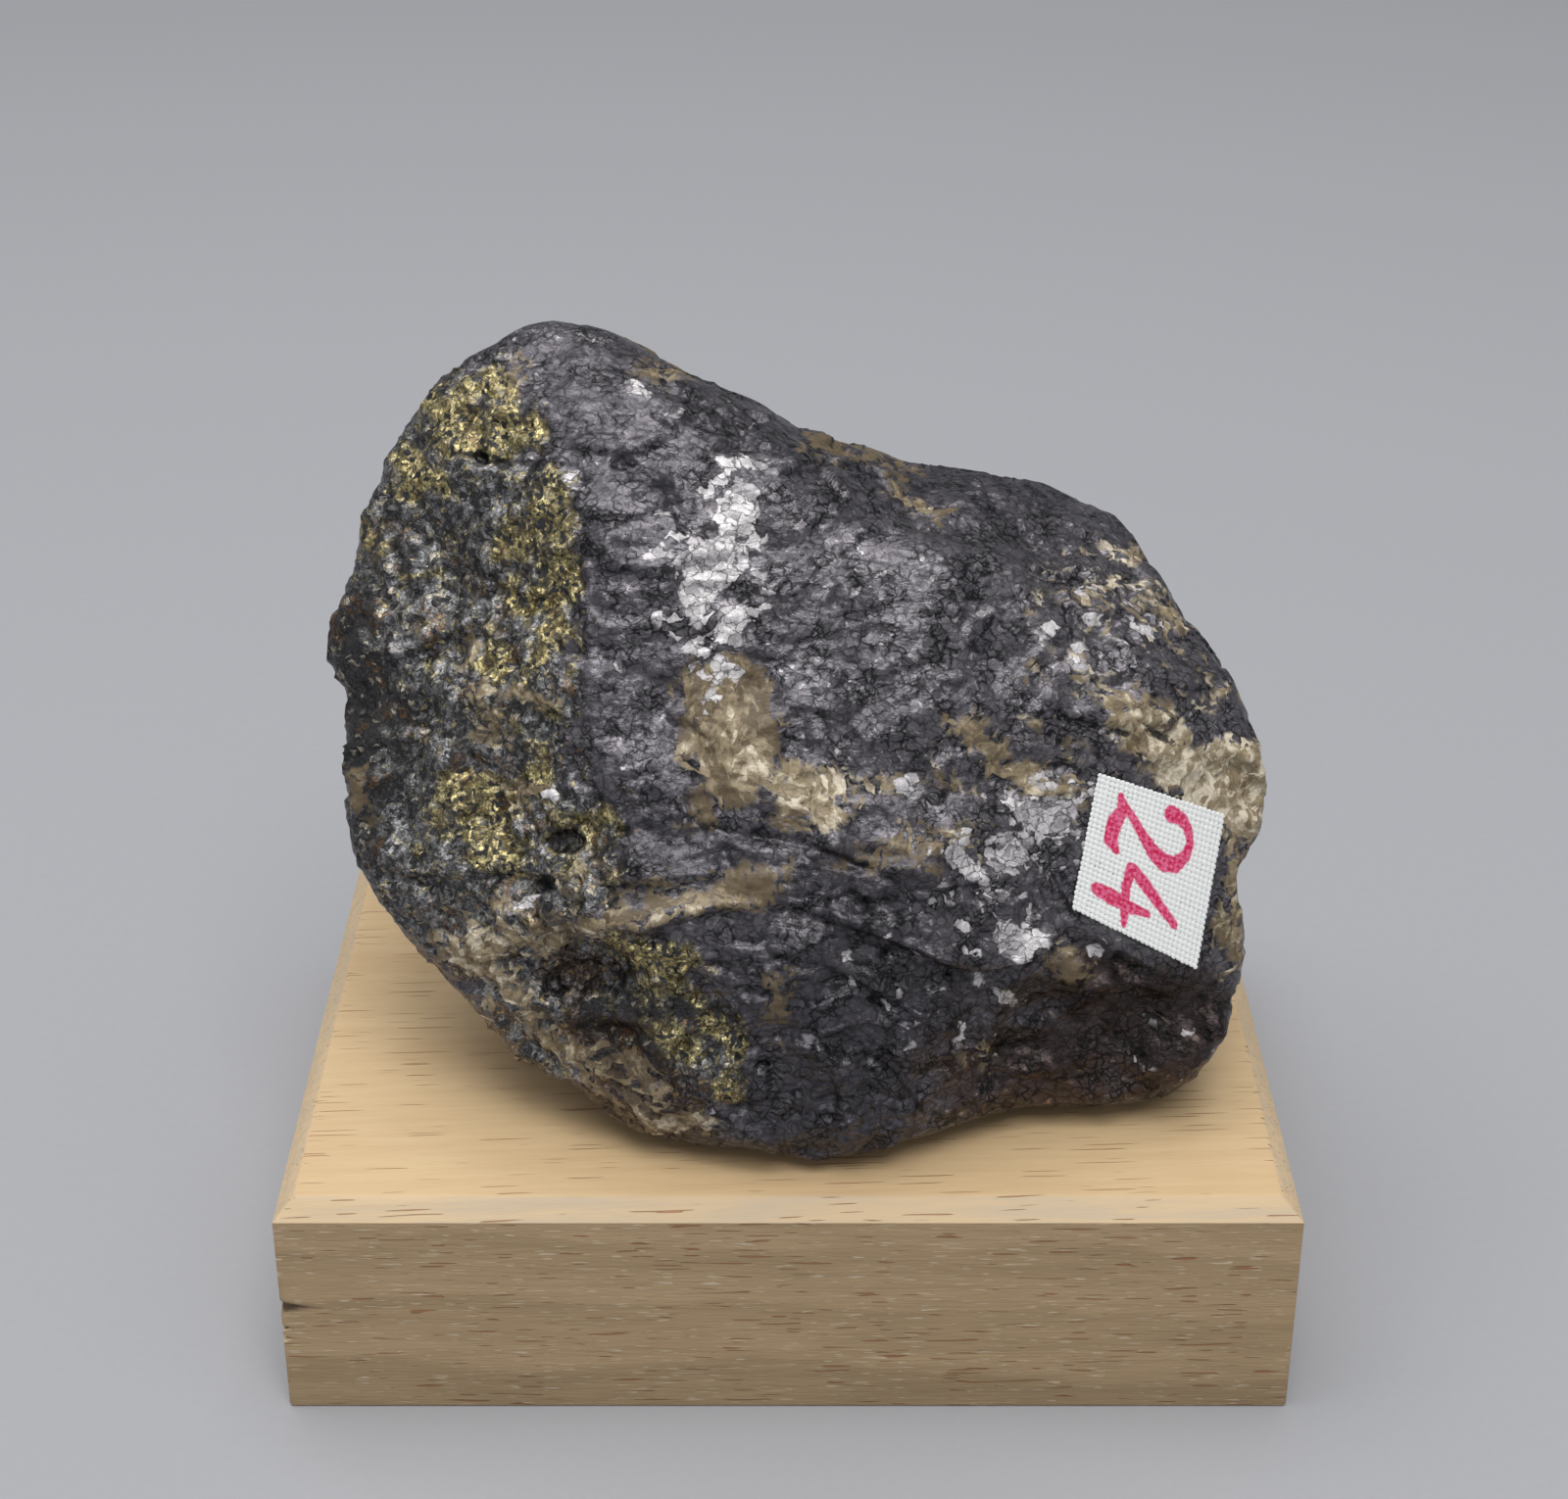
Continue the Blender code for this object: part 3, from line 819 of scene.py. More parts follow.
@dataclass(frozen=True)
class WoodFinish:
    """Pale softwood, planed on top and sawn on its sides, with brown pores along the grain; the sides are
    painted darker, partly as sawn wood and partly as painted shade from the light above.
    """

    pale: Colour = (0.67, 0.485, 0.272)
    band: Colour = (0.58, 0.398, 0.213)
    # Sawn sides: partly their own darker wood, partly painted shade.
    sawn_pale_shaded: Colour = (0.460, 0.325, 0.182)
    sawn_band_shaded: Colour = (0.345, 0.240, 0.131)
    chamfer: Colour = (0.530, 0.415, 0.278)
    pore: Colour = (0.36, 0.150, 0.058)
    sawn_pore_shaded: Colour = (0.285, 0.108, 0.040)
    fleck: Colour = (0.66, 0.56, 0.42)
    chip: Colour = (0.050, 0.028, 0.016)
    slant: float = math.radians(2.5)
    heart: tuple[float, float, float] = (0.0, 16.0, 38.0)
    rings_per_mm: float = 0.16

    def build(self) -> Material:
        """Make the material.

        Returns:
            The finished material.
        """
        material, graph, shader = new_material("stand_wood")
        local = graph.node("TexCoord").outputs["Object"]
        mapped = graph.node("Mapping", {"Vector": local}, vector_type="POINT")
        mapped.inputs["Rotation"].default_value = (0.0, 0.0, -self.slant)
        mapped.inputs["Scale"].default_value = (1.0 / MM, 1.0 / MM, 1.0 / MM)
        place = mapped.outputs[0]
        bent = Groups.wavered(graph, place, 0.035, 9.0)
        up = graph.node("SeparateXYZ", {0: graph.node("NewGeometry").outputs["Normal"]}).outputs[2]
        planed = graph.ease(up, 0.35, 0.65)
        sawn = graph.math("SUBTRACT", 1.0, planed)
        across = graph.stretch(graph.vector("ADD", bent, self.heart), (0.02, 1.0, 1.0))
        far = graph.node("VectorMath", {0: across}, operation="LENGTH").outputs["Value"]
        ring = graph.math("FRACT", graph.times(far, self.rings_per_mm))
        late = graph.times(graph.ease(ring, 0.1, 0.9), graph.ease(ring, 1.0, 0.88))
        mottle = graph.noise(graph.stretch(place, (0.06, 0.8, 0.8)), 1.0, 5.0, 0.65).outputs["Fac"]
        share = graph.plus(graph.times(late, 0.45), graph.ease(mottle, 0.30, 0.75, 0.0, 0.65))
        top = graph.mix(share, self.pale, self.band)
        # Sides darker than the top: partly sawn wood, partly painted shade.
        side = graph.mix(share, self.sawn_pale_shaded, self.sawn_band_shaded)
        colour = graph.mix(planed, side, top)
        bevel = graph.times(graph.ease(up, 0.60, 0.75), graph.ease(up, 0.97, 0.90))
        streaked = graph.ease(mottle, 0.38, 0.62, 0.35, 1.0)
        colour = graph.mix(graph.times(bevel, streaked), colour, self.chamfer)
        top_pore = graph.times(self._streaks(graph, place, (0.115, 5.2, 5.2), 0.75, 0.80), planed)
        side_pore = graph.times(self._streaks(graph, place, (0.20, 3.8, 3.8), 0.725, 0.775), sawn)
        moved = graph.vector("ADD", place, (3.0, 7.0, 5.0))
        fleck = graph.times(self._streaks(graph, moved, (0.42, 6.0, 6.0), 0.71, 0.77), sawn)
        colour = graph.mix(graph.times(fleck, 0.6), colour, self.fleck)
        colour = graph.mix(graph.times(top_pore, 0.85), colour, self.pore)
        colour = graph.mix(graph.times(side_pore, 0.75), colour, self.sawn_pore_shaded)
        colour = graph.mix(graph.attribute("chip"), colour, self.chip)
        graph.feed(shader.inputs["Base Color"], colour)
        graph.feed(shader.inputs["Roughness"], graph.ease(planed, 0.0, 1.0, 0.80, 0.58))
        fibres = graph.noise(graph.stretch(place, (0.22, 3.5, 3.5)), 1.0, 4.0, 0.7).outputs["Fac"]
        height = graph.times(fibres, graph.ease(planed, 0.0, 1.0, 1.0, 0.35))
        height = graph.math("SUBTRACT", height, graph.plus(side_pore, top_pore))
        graph.feed(shader.inputs["Normal"], graph.bump(height, 0.12))
        return material

    @staticmethod
    def _streaks(
        graph: Graph, place: object, stretch: tuple[float, float, float], low: float, high: float
    ) -> NodeSocket:
        """Short streaks along the grain.

        Args:
            graph: the material's graph.
            place: place in millimetres.
            stretch: swells to the millimetre along each axis.
            low: the swell's height at a streak's edge.
            high: its height where the streak is full.

        Returns:
            The streaks' mask.
        """
        swell = graph.noise(graph.stretch(place, stretch), 1.0, 0.0).outputs["Fac"]
        return graph.ease(swell, low, high)


@dataclass(frozen=True)
class ClothFinish:
    """White cotton tape in an open plain weave, with a number inked on it."""

    thread: Colour = (0.90, 0.905, 0.885)
    thread_shade: Colour = (0.74, 0.75, 0.73)
    gap: Colour = (0.20, 0.205, 0.205)
    ink: Colour = (0.60, 0.018, 0.090)
    ink_dry: Colour = (0.78, 0.16, 0.30)

    def build(self) -> Material:
        """Make the material.

        Returns:
            The finished material.
        """
        material, graph, shader = new_material("label_cloth")
        place = Groups.use(graph, Groups.leaning_place()).outputs["Place"]
        fibres = graph.noise(place, 5.0, 3.0, 0.7).outputs["Fac"]
        colour = graph.mix(graph.ease(fibres, 0.3, 0.7), self.thread_shade, self.thread)
        wobble = graph.noise(place, 2.6, 3.0, 0.65).outputs["Fac"]
        inked = Groups.masked(graph, "ink", wobble, 0.55, 0.10)
        worn = graph.plus(wobble, graph.times(graph.attribute("crown"), 0.16))
        dry = graph.ease(worn, 0.50, 0.72)
        colour = graph.mix(graph.attribute("gap"), colour, self.gap)
        inked = graph.times(inked, graph.ease(graph.attribute("gap"), 0.0, 1.0, 1.0, 0.7))
        colour = graph.mix(inked, colour, graph.mix(dry, self.ink, self.ink_dry))
        graph.feed(shader.inputs["Base Color"], colour)
        shader.inputs["Roughness"].default_value = 0.9
        shader.inputs["Specular IOR Level"].default_value = 0.2
        graph.feed(shader.inputs["Normal"], graph.bump(fibres, 0.05))
        return material


@dataclass(frozen=True)
class BackdropFinish:
    """Plain pale grey card with a faint tooth."""

    colour: Colour = (0.37, 0.372, 0.39)

    def build(self) -> Material:
        """Make the material.

        Returns:
            The finished material.
        """
        material, graph, shader = new_material("pale_card")
        local = graph.node("TexCoord").outputs["Object"]
        tooth = graph.noise(local, 900.0, 2.0).outputs["Fac"]
        darker = tuple(part * 0.95 for part in self.colour)
        graph.feed(shader.inputs["Base Color"], graph.mix(tooth, self.colour, darker))
        shader.inputs["Roughness"].default_value = 0.85
        return material


@dataclass
class LabelBed:
    """The gently bent face that the cloth label lies on, in millimetres in the leaning frame."""

    corners: tuple[Place, ...] = ((30.0, -2.2), (42.2, -6.3), (39.6, -20.8), (27.6, -15.0))
    middle: tuple[float, float, float] = (35.0, -11.3, 8.0)
    slope_across: float = -0.36
    slope_up: float = 0.15
    bend: float = 0.010
    margin: float = 1.2
    blend: float = 2.0

    def forward(self, across: np.ndarray, up: np.ndarray) -> np.ndarray:
        """How far forward the bed is.

        Args:
            across: places across.
            up: places up.

        Returns:
            Millimetres forward.
        """
        right = across - self.middle[0]
        above = up - self.middle[1]
        return self.middle[2] + self.slope_across * right + self.slope_up * above - self.bend * right * right

    def clear_of(self, places: np.ndarray) -> np.ndarray:
        """Share from 0 on the bed to 1 well away from it.

        Args:
            places: places in the leaning frame, one row each.

        Returns:
            One share for each place.
        """
        inside = np.full(len(places), np.inf)
        for i, start in enumerate(self.corners):
            end = self.corners[(i + 1) % len(self.corners)]
            run = np.array(end) - np.array(start)
            off = places[:, :2] - np.array(start)
            inside = np.minimum(inside, (off[:, 1] * -run[0] + off[:, 0] * run[1]) / np.hypot(*run))
        away = smooth_step(self.margin, self.margin + self.blend, -inside)
        return np.where(places[:, 2] < 0.0, 1.0, away)


BED = LabelBed()


@dataclass(frozen=True)
class Spread:
    """How a mineral spreads: its guessed swells where nothing was seen, and how ragged its edges are."""

    swell: float
    level: float
    height: float
    wave: float
    raggedness: float


@dataclass
class Minerals:
    """Where the minerals lie, read from a millimetre grid, and guessed for the sides and back."""

    patches: dict[Mineral, tuple[Patch | Vein, ...]] = field(default_factory=lambda: {
        Mineral.CARBONATE: (
            Patch(-6.2, 5.6, 4.2, 3.5), Patch(-4.9, 1.0, 5.0, 4.6), Patch(-4.6, -3.2, 3.8, 2.8),
            Patch(2.0, -4.4, 4.6, 2.7, -25.0), Patch(4.2, -6.2, 2.2, 1.6), Patch(-8.0, -6.5, 1.6, 1.1),
            Vein(((-33.0, -19.8), (-28.0, -18.8), (-22.0, -18.2), (-16.0, -16.6), (-10.0, -15.0),
                  (-5.0, -13.6), (-1.5, -13.6)), 1.1), Patch(-3.4, -13.2, 3.2, 1.7, 8.0),
            Patch(-30.0, -20.2, 2.6, 1.8),
            Vein(((-31.0, -20.5), (-28.0, -22.0), (-25.5, -25.0), (-24.5, -28.0), (-21.0, -30.0)), 1.1),
            Patch(-15.5, -33.2, 4.0, 2.4, -20.0, 0.0), Patch(-11.0, -36.8, 2.6, 1.0),
            Patch(36.3, 1.8, 4.6, 3.0, -38.0), Patch(38.6, -1.4, 4.0, 2.4, -30.0),
            Patch(43.6, -3.2, 4.6, 4.6, 10.0), Patch(46.0, -6.5, 2.2, 3.0), Patch(18.5, 1.8, 1.2, 1.5),
            Patch(20.8, -0.2, 2.6, 1.2, -20.0), Patch(25.0, -2.8, 3.8, 1.5, -15.0),
            Patch(13.0, -9.5, 3.8, 1.0, 8.0), Patch(9.4, -3.6, 2.6, 0.5, 5.0),
            Patch(31.5, 15.5, 1.8, 2.4, 0.0, -0.3), Patch(34.5, 19.3, 1.0, 0.9),
            Vein(((35.0, 16.0), (39.0, 12.2)), 0.6), Patch(29.0, 8.0, 0.8, 0.9), Patch(43.5, 5.8, 0.9, 0.7),
            Vein(((2.6, 30.4), (8.0, 29.8), (13.0, 28.4)), 0.7), Vein(((10.5, 25.8), (13.5, 24.3)), 0.45),
            Patch(15.2, 23.3, 1.0, 0.7), Vein(((-14.5, 38.0), (-9.0, 36.2)), 0.4),
            Patch(-27.0, 36.5, 0.8, 1.3), Patch(-0.5, -24.5, 0.8, 2.2), Patch(28.5, -22.0, 1.5, 1.9),
            Patch(20.0, -30.0, 0.9, 1.1), Patch(43.6, -18.0, 1.4, 2.1),
            Vein(((45.0, -11.0), (44.8, -21.0)), 0.8), Vein(((-41.6, -2.0), (-41.4, -7.0)), 0.6),
            Patch(-31.0, -25.5, 1.2, 1.0), Vein(((-31.0, 5.6), (-27.0, 5.8), (-23.0, 5.0)), 0.5),
            Patch(-29.0, 1.8, 0.9, 1.2), Patch(-31.5, 9.5, 0.6, 1.0), Patch(-20.5, -12.0, 1.4, 0.6, 30.0),
            Patch(-26.5, -4.0, 1.3, 1.0), Patch(30.5, 14.0, 5.5, 6.0, 0.0, -0.75),
            Patch(28.5, 8.0, 4.0, 3.5, 0.0, -0.85), Patch(38.0, 8.5, 6.0, 3.0, -50.0, -0.85),
            Patch(23.0, -1.5, 8.0, 4.0, -15.0, -0.60), Patch(12.0, -9.5, 6.5, 2.2, 5.0, -0.70),
            Patch(-22.0, -17.0, 12.0, 2.6, 12.0, -0.55), Patch(44.0, 4.0, 2.6, 4.5, 10.0, -0.80),
        ),
        Mineral.BRASS: (
            Patch(-31.5, 32.0, 7.8, 4.2, -10.0), Patch(-29.6, 36.0, 3.8, 3.2), Patch(-24.8, 31.6, 2.8, 2.4),
            Patch(-37.0, 29.0, 2.8, 2.4),
            Vein(((-22.5, 26.5), (-21.5, 20.0), (-22.5, 13.0), (-26.0, 6.5)), 2.2),
            Patch(-24.5, 18.0, 5.4, 9.5, 0.0, 1.8), Patch(-29.5, 8.5, 4.2, 3.2),
            Patch(-24.0, 4.0, 1.8, 1.6), Patch(-40.5, 21.0, 2.4, 3.0), Patch(-36.5, 17.0, 2.2, 2.2),
            Patch(-43.0, 14.0, 1.2, 2.0), Patch(-31.0, -5.5, 6.6, 4.8, 0.0, 1.7),
            Patch(-27.0, -10.5, 5.6, 3.0, 0.0, 1.3), Patch(-20.0, -8.8, 4.6, 4.4, 0.0, 1.0),
            Patch(-34.0, 26.0, 4.5, 2.0), Patch(-24.5, -3.0, 2.5, 3.0), Patch(-17.5, -11.5, 1.4, 1.6),
            Vein(((-17.0, -19.5), (-13.0, -21.5), (-9.0, -25.0), (-5.5, -29.0), (-5.5, -34.0)), 2.4),
            Patch(-11.0, -36.4, 2.4, 1.3), Patch(-38.0, 25.0, 1.8, 2.0), Patch(30.2, -19.6, 0.6, 0.6),
            Patch(-33.0, 18.0, 9.0, 16.0, 0.0, 0.2), Patch(-28.0, -6.0, 10.0, 8.5, 0.0, 0.3),
            Patch(-26.0, 12.0, 6.5, 11.0, 0.0, 0.5), Patch(-10.5, -25.5, 9.0, 5.5, -40.0, 1.0),
            Patch(-33.0, 31.0, 9.0, 6.0, -10.0, 0.7),
        ),
        # Cleavage faces: partly their own paler colour, partly painted reflection.
        Mineral.MIRROR: (
            Patch(-4.7, 23.4, 2.2, 3.4, -8.0), Patch(-7.2, 18.2, 4.0, 2.9, 38.0),
            Patch(-8.6, 14.4, 1.5, 2.4, 20.0), Patch(-5.0, 12.8, 2.0, 1.5),
            Patch(-6.3, 8.3, 1.4, 1.0, -15.0), Patch(-7.3, 5.3, 0.8, 1.4, -35.0),
            Patch(-2.3, 19.8, 0.6, 0.8), Patch(25.9, -6.6, 3.6, 2.0, 15.0),
            Patch(22.8, -9.4, 2.6, 1.7, 20.0), Vein(((16.5, -10.0), (20.2, -13.5)), 0.8),
            Patch(22.8, -18.7, 2.6, 1.6, -20.0), Vein(((19.5, -23.8), (24.0, -25.4)), 0.5),
            Patch(-11.8, 31.5, 1.0, 0.6, 40.0), Patch(-14.5, 35.5, 1.4, 0.8), Patch(-21.0, 27.0, 0.9, 0.6),
            Patch(-3.4, 28.5, 2.4, 0.9), Patch(12.3, -3.3, 1.1, 0.9), Patch(31.3, -20.2, 0.7, 0.8),
            Patch(-25.5, -15.0, 1.3, 0.5, 40.0), Patch(-23.0, -4.8, 0.6, 0.5),
            Patch(-39.0, 10.5, 0.9, 0.35), Patch(35.5, 11.8, 0.9, 0.7), Patch(31.0, -10.0, 1.2, 0.8),
            Patch(38.5, -30.4, 3.4, 3.0, 0.0, -0.55), Patch(20.0, -14.0, 7.0, 6.0, 0.0, -0.54),
            Patch(15.0, -25.0, 9.0, 5.0, -25.0, -0.64), Patch(-7.0, 17.0, 6.5, 11.0, 0.0, -0.45),
            Patch(25.0, -7.5, 7.0, 4.5, 10.0, -0.40), Patch(31.0, 12.0, 6.0, 4.0, 0.0, -0.45),
        ),
        Mineral.GRANULAR: (
            Patch(-34.0, 9.0, 13.0, 29.0), Patch(-27.0, -10.0, 11.0, 8.5), Patch(-18.5, -22.5, 8.0, 4.5),
            Patch(-22.0, -27.0, 8.5, 5.5, -30.0), Patch(-10.0, -30.0, 5.5, 5.0),
        ),
        # Painted shade: the hollows and the underside of the stone.
        Mineral.PAINTED_SHADE: (
            Patch(36.0, -26.6, 10.5, 6.0, -8.0), Patch(26.0, -31.5, 12.5, 4.6),
            Patch(-17.5, -28.5, 5.0, 2.0), Patch(-20.0, -22.0, 5.5, 1.8, 8.0),
            Patch(-14.0, -34.0, 6.0, 3.5, -20.0, 0.5),
        ),
        Mineral.PIT: (
            Patch(-22.0, -9.0, 1.3, 1.1), Patch(-23.6, -13.2, 1.2, 0.9), Patch(-30.0, 29.0, 0.9, 0.7),
            Patch(-28.0, 28.4, 0.7, 0.5), Vein(((27.4, 3.3), (30.5, 2.5), (34.0, 1.5)), 0.24),
            Vein(((23.0, -8.5), (26.5, -12.5), (28.6, -16.5)), 0.15), Patch(37.5, 1.2, 1.6, 0.4, -30.0),
        ),
        # Partly paler ore and partly painted sheen where faces catch the light.
        Mineral.PALE_AND_LIT: (
            Patch(12.0, 13.0, 15.0, 9.0), Patch(-16.5, 12.0, 3.0, 12.0), Patch(32.0, 15.5, 6.5, 4.5),
            Patch(30.0, 9.0, 6.0, 5.0), Patch(3.0, 22.0, 8.0, 5.0), Patch(21.0, -7.5, 8.0, 3.0),
            Patch(21.0, -19.5, 6.0, 2.0, -20.0), Patch(41.0, -3.0, 9.0, 6.0, -20.0),
            Patch(43.0, -3.0, 7.0, 7.0),
        ),
        # Painted shade: the ore darkened where it turns down or away from the light.
        Mineral.SHADED_ORE: (
            Patch(16.0, 28.2, 13.0, 3.6, -12.0), Patch(6.0, -13.0, 9.0, 4.0), Patch(8.0, -24.0, 13.0, 7.5),
            Patch(32.0, -26.0, 13.0, 5.5), Patch(4.0, -35.0, 9.0, 6.0), Patch(-13.0, -9.0, 6.0, 5.0),
            Patch(-12.0, -27.0, 6.0, 4.0), Patch(-42.0, 2.0, 2.6, 9.0),
            Patch(-12.0, 32.0, 11.0, 7.0, -8.0, -0.8), Patch(-2.0, 6.0, 26.0, 18.0, 0.0, -1.6),
        ),
    })
    spreads: dict[Mineral, Spread] = field(default_factory=lambda: {
        Mineral.CARBONATE: Spread(13.0, 0.46, 12.0, 2.6, 1.1),
        Mineral.BRASS: Spread(11.0, 0.48, 10.0, 3.0, 1.7),
        Mineral.MIRROR: Spread(6.0, 0.66, 7.0, 2.0, 0.6),
        Mineral.GRANULAR: Spread(22.0, 0.24, 22.0, 3.5, 2.2),
        Mineral.PAINTED_SHADE: Spread(16.0, 0.55, 10.0, 5.0, 2.0),
        Mineral.PIT: Spread(3.0, 0.90, 3.0, 1.5, 0.25),
        Mineral.PALE_AND_LIT: Spread(12.0, 0.10, 12.0, 6.0, 2.0),
        Mineral.SHADED_ORE: Spread(14.0, 0.05, 12.0, 6.0, 2.0),
    })
    # How much the pale zones are lightened: partly paler ore, partly painted sheen.
    paler_and_lit: float = 0.05
    # How much painted shade darkens the ore in the shaded zones.
    shade_darkening: float = 0.26
    reach: float = 4.0

    def depths(self, places: np.ndarray, front: np.ndarray) -> dict[Mineral, np.ndarray]:
        """How deep inside each mineral every place is.

        Args:
            places: places in the leaning frame, one row each.
            front: share from 1 on the measured front to 0 on the sides and back.

        Returns:
            Millimetres inside, by mineral, negative outside.
        """
        seen = LEANING.seen(places)
        found = {}
        for order, mineral in enumerate(Mineral):
            shown = np.full(len(places), -self.reach)
            for patch in self.patches[mineral]:
                shown = np.maximum(shown, patch.depth(seen))
            spread = self.spreads[mineral]
            shift = Vector((17.0 * order, 5.0 * order, 0.0))
            hidden = (self.cloudy(places, spread.swell, 3, shift) - spread.level) * spread.height
            mixed = front * shown + (1.0 - front) * hidden
            mixed += spread.raggedness * self.cloudy(places, spread.wave, 4, shift)
            found[mineral] = np.clip(mixed, -self.reach, self.reach)
        return found

    def shades(self, places: np.ndarray, depths: dict[Mineral, np.ndarray]) -> dict[str, np.ndarray]:
        """Slow changes over the stone: how light the ore is, with painted shade where it turns down or away
        and painted sheen in part of the paler places, how rusty and how cracked.

        Args:
            places: places in the leaning frame, one row each.
            depths: millimetres inside each mineral.

        Returns:
            One number for each place, by name.
        """
        tone = 0.07 * self.cloudy(places, 6.0, 4, Vector((3.0, 8.0, 1.0)))
        # Partly paler ore, partly painted sheen.
        tone += self.paler_and_lit * smooth_step(-2.5, 2.5, depths[Mineral.PALE_AND_LIT])
        # Painted shade: darker ore in the shaded zones.
        tone -= self.shade_darkening * smooth_step(-2.5, 2.5, depths[Mineral.SHADED_ORE])
        rust = smooth_step(0.10, 0.50, self.cloudy(places, 3.4, 4, Vector((9.0, 2.0, 7.0))))
        cracked = smooth_step(-0.30, 0.40, self.cloudy(places, 2.6, 3, Vector((1.0, 6.0, 4.0))))
        return {"tone": tone, "rust": rust, "cracked": cracked}

    @staticmethod
    def cloudy(places: np.ndarray, size: float, octaves: int, shift: Vector) -> np.ndarray:
        """Soft noise over places.

        Args:
            places: places in millimetres, one row each.
            size: the size of its largest swells.
            octaves: how many finer layers it has.
            shift: what tells one noise from another.

        Returns:
            About -1 to 1 for each place.
        """
        turned = places @ np.array(Euler((0.7, 0.5, 0.9)).to_matrix()) / size
        return np.array([noise.fractal(Vector(place) + shift, 0.8, 2.1, octaves) for place in turned])


@dataclass(frozen=True)
class Ledge:
    """A small step along a bent line on the leaning plane: what lies left of the way stands proud."""

    line: tuple[Place, ...]
    height: float
    reach: float
    edge: float = 0.35

    def rise(self, seen: np.ndarray) -> np.ndarray:
        """How far the step lifts each place.

        Args:
            seen: places on the leaning plane, one row each.

        Returns:
            Millimetres outward, negative on the lower side.
        """
        nearest = np.full(len(seen), np.inf)
        side = np.zeros(len(seen))
        along = np.zeros(len(seen))
        lengths = [math.dist(start, end) for start, end in zip(self.line, self.line[1:])]
        gone = 0.0
        for start, end, length in zip(self.line, self.line[1:], lengths):
            run = np.array(end) - np.array(start)
            off = seen - np.array(start)
            share, away = beside(seen, start, end)
            closer = away < nearest
            nearest = np.where(closer, away, nearest)
            side = np.where(closer, np.sign(run[0] * off[:, 1] - run[1] * off[:, 0]), side)
            along = np.where(closer, (gone + share * length) / sum(lengths), along)
            gone += length
        ends = smooth_step(0.0, 0.2, along) * smooth_step(1.0, 0.8, along)
        step = np.tanh(side * nearest / self.edge) * np.exp(-nearest / self.reach)
        return self.height * step * ends


@dataclass(frozen=True)
class Facets:
    """Small sloping planes over the stone: their size in millimetres and how steeply they may slope."""

    cell: float
    tilt: float

    def at(self, place: Vector) -> tuple[float, float]:
        """The plane at a place.

        Args:
            place: where, in millimetres.

        Returns:
            The plane's height there, and how near the place is to the facet's edge, from 0 at the edge.
        """
        distances, centres = noise.voronoi(place / self.cell)
        slope = noise.cell_vector(centres[0] * 53.0) - Vector((0.5, 0.5, 0.5))
        height = 2.0 * (place / self.cell - centres[0]).dot(slope) * self.tilt * self.cell
        return height, (distances[1] - distances[0]) * self.cell


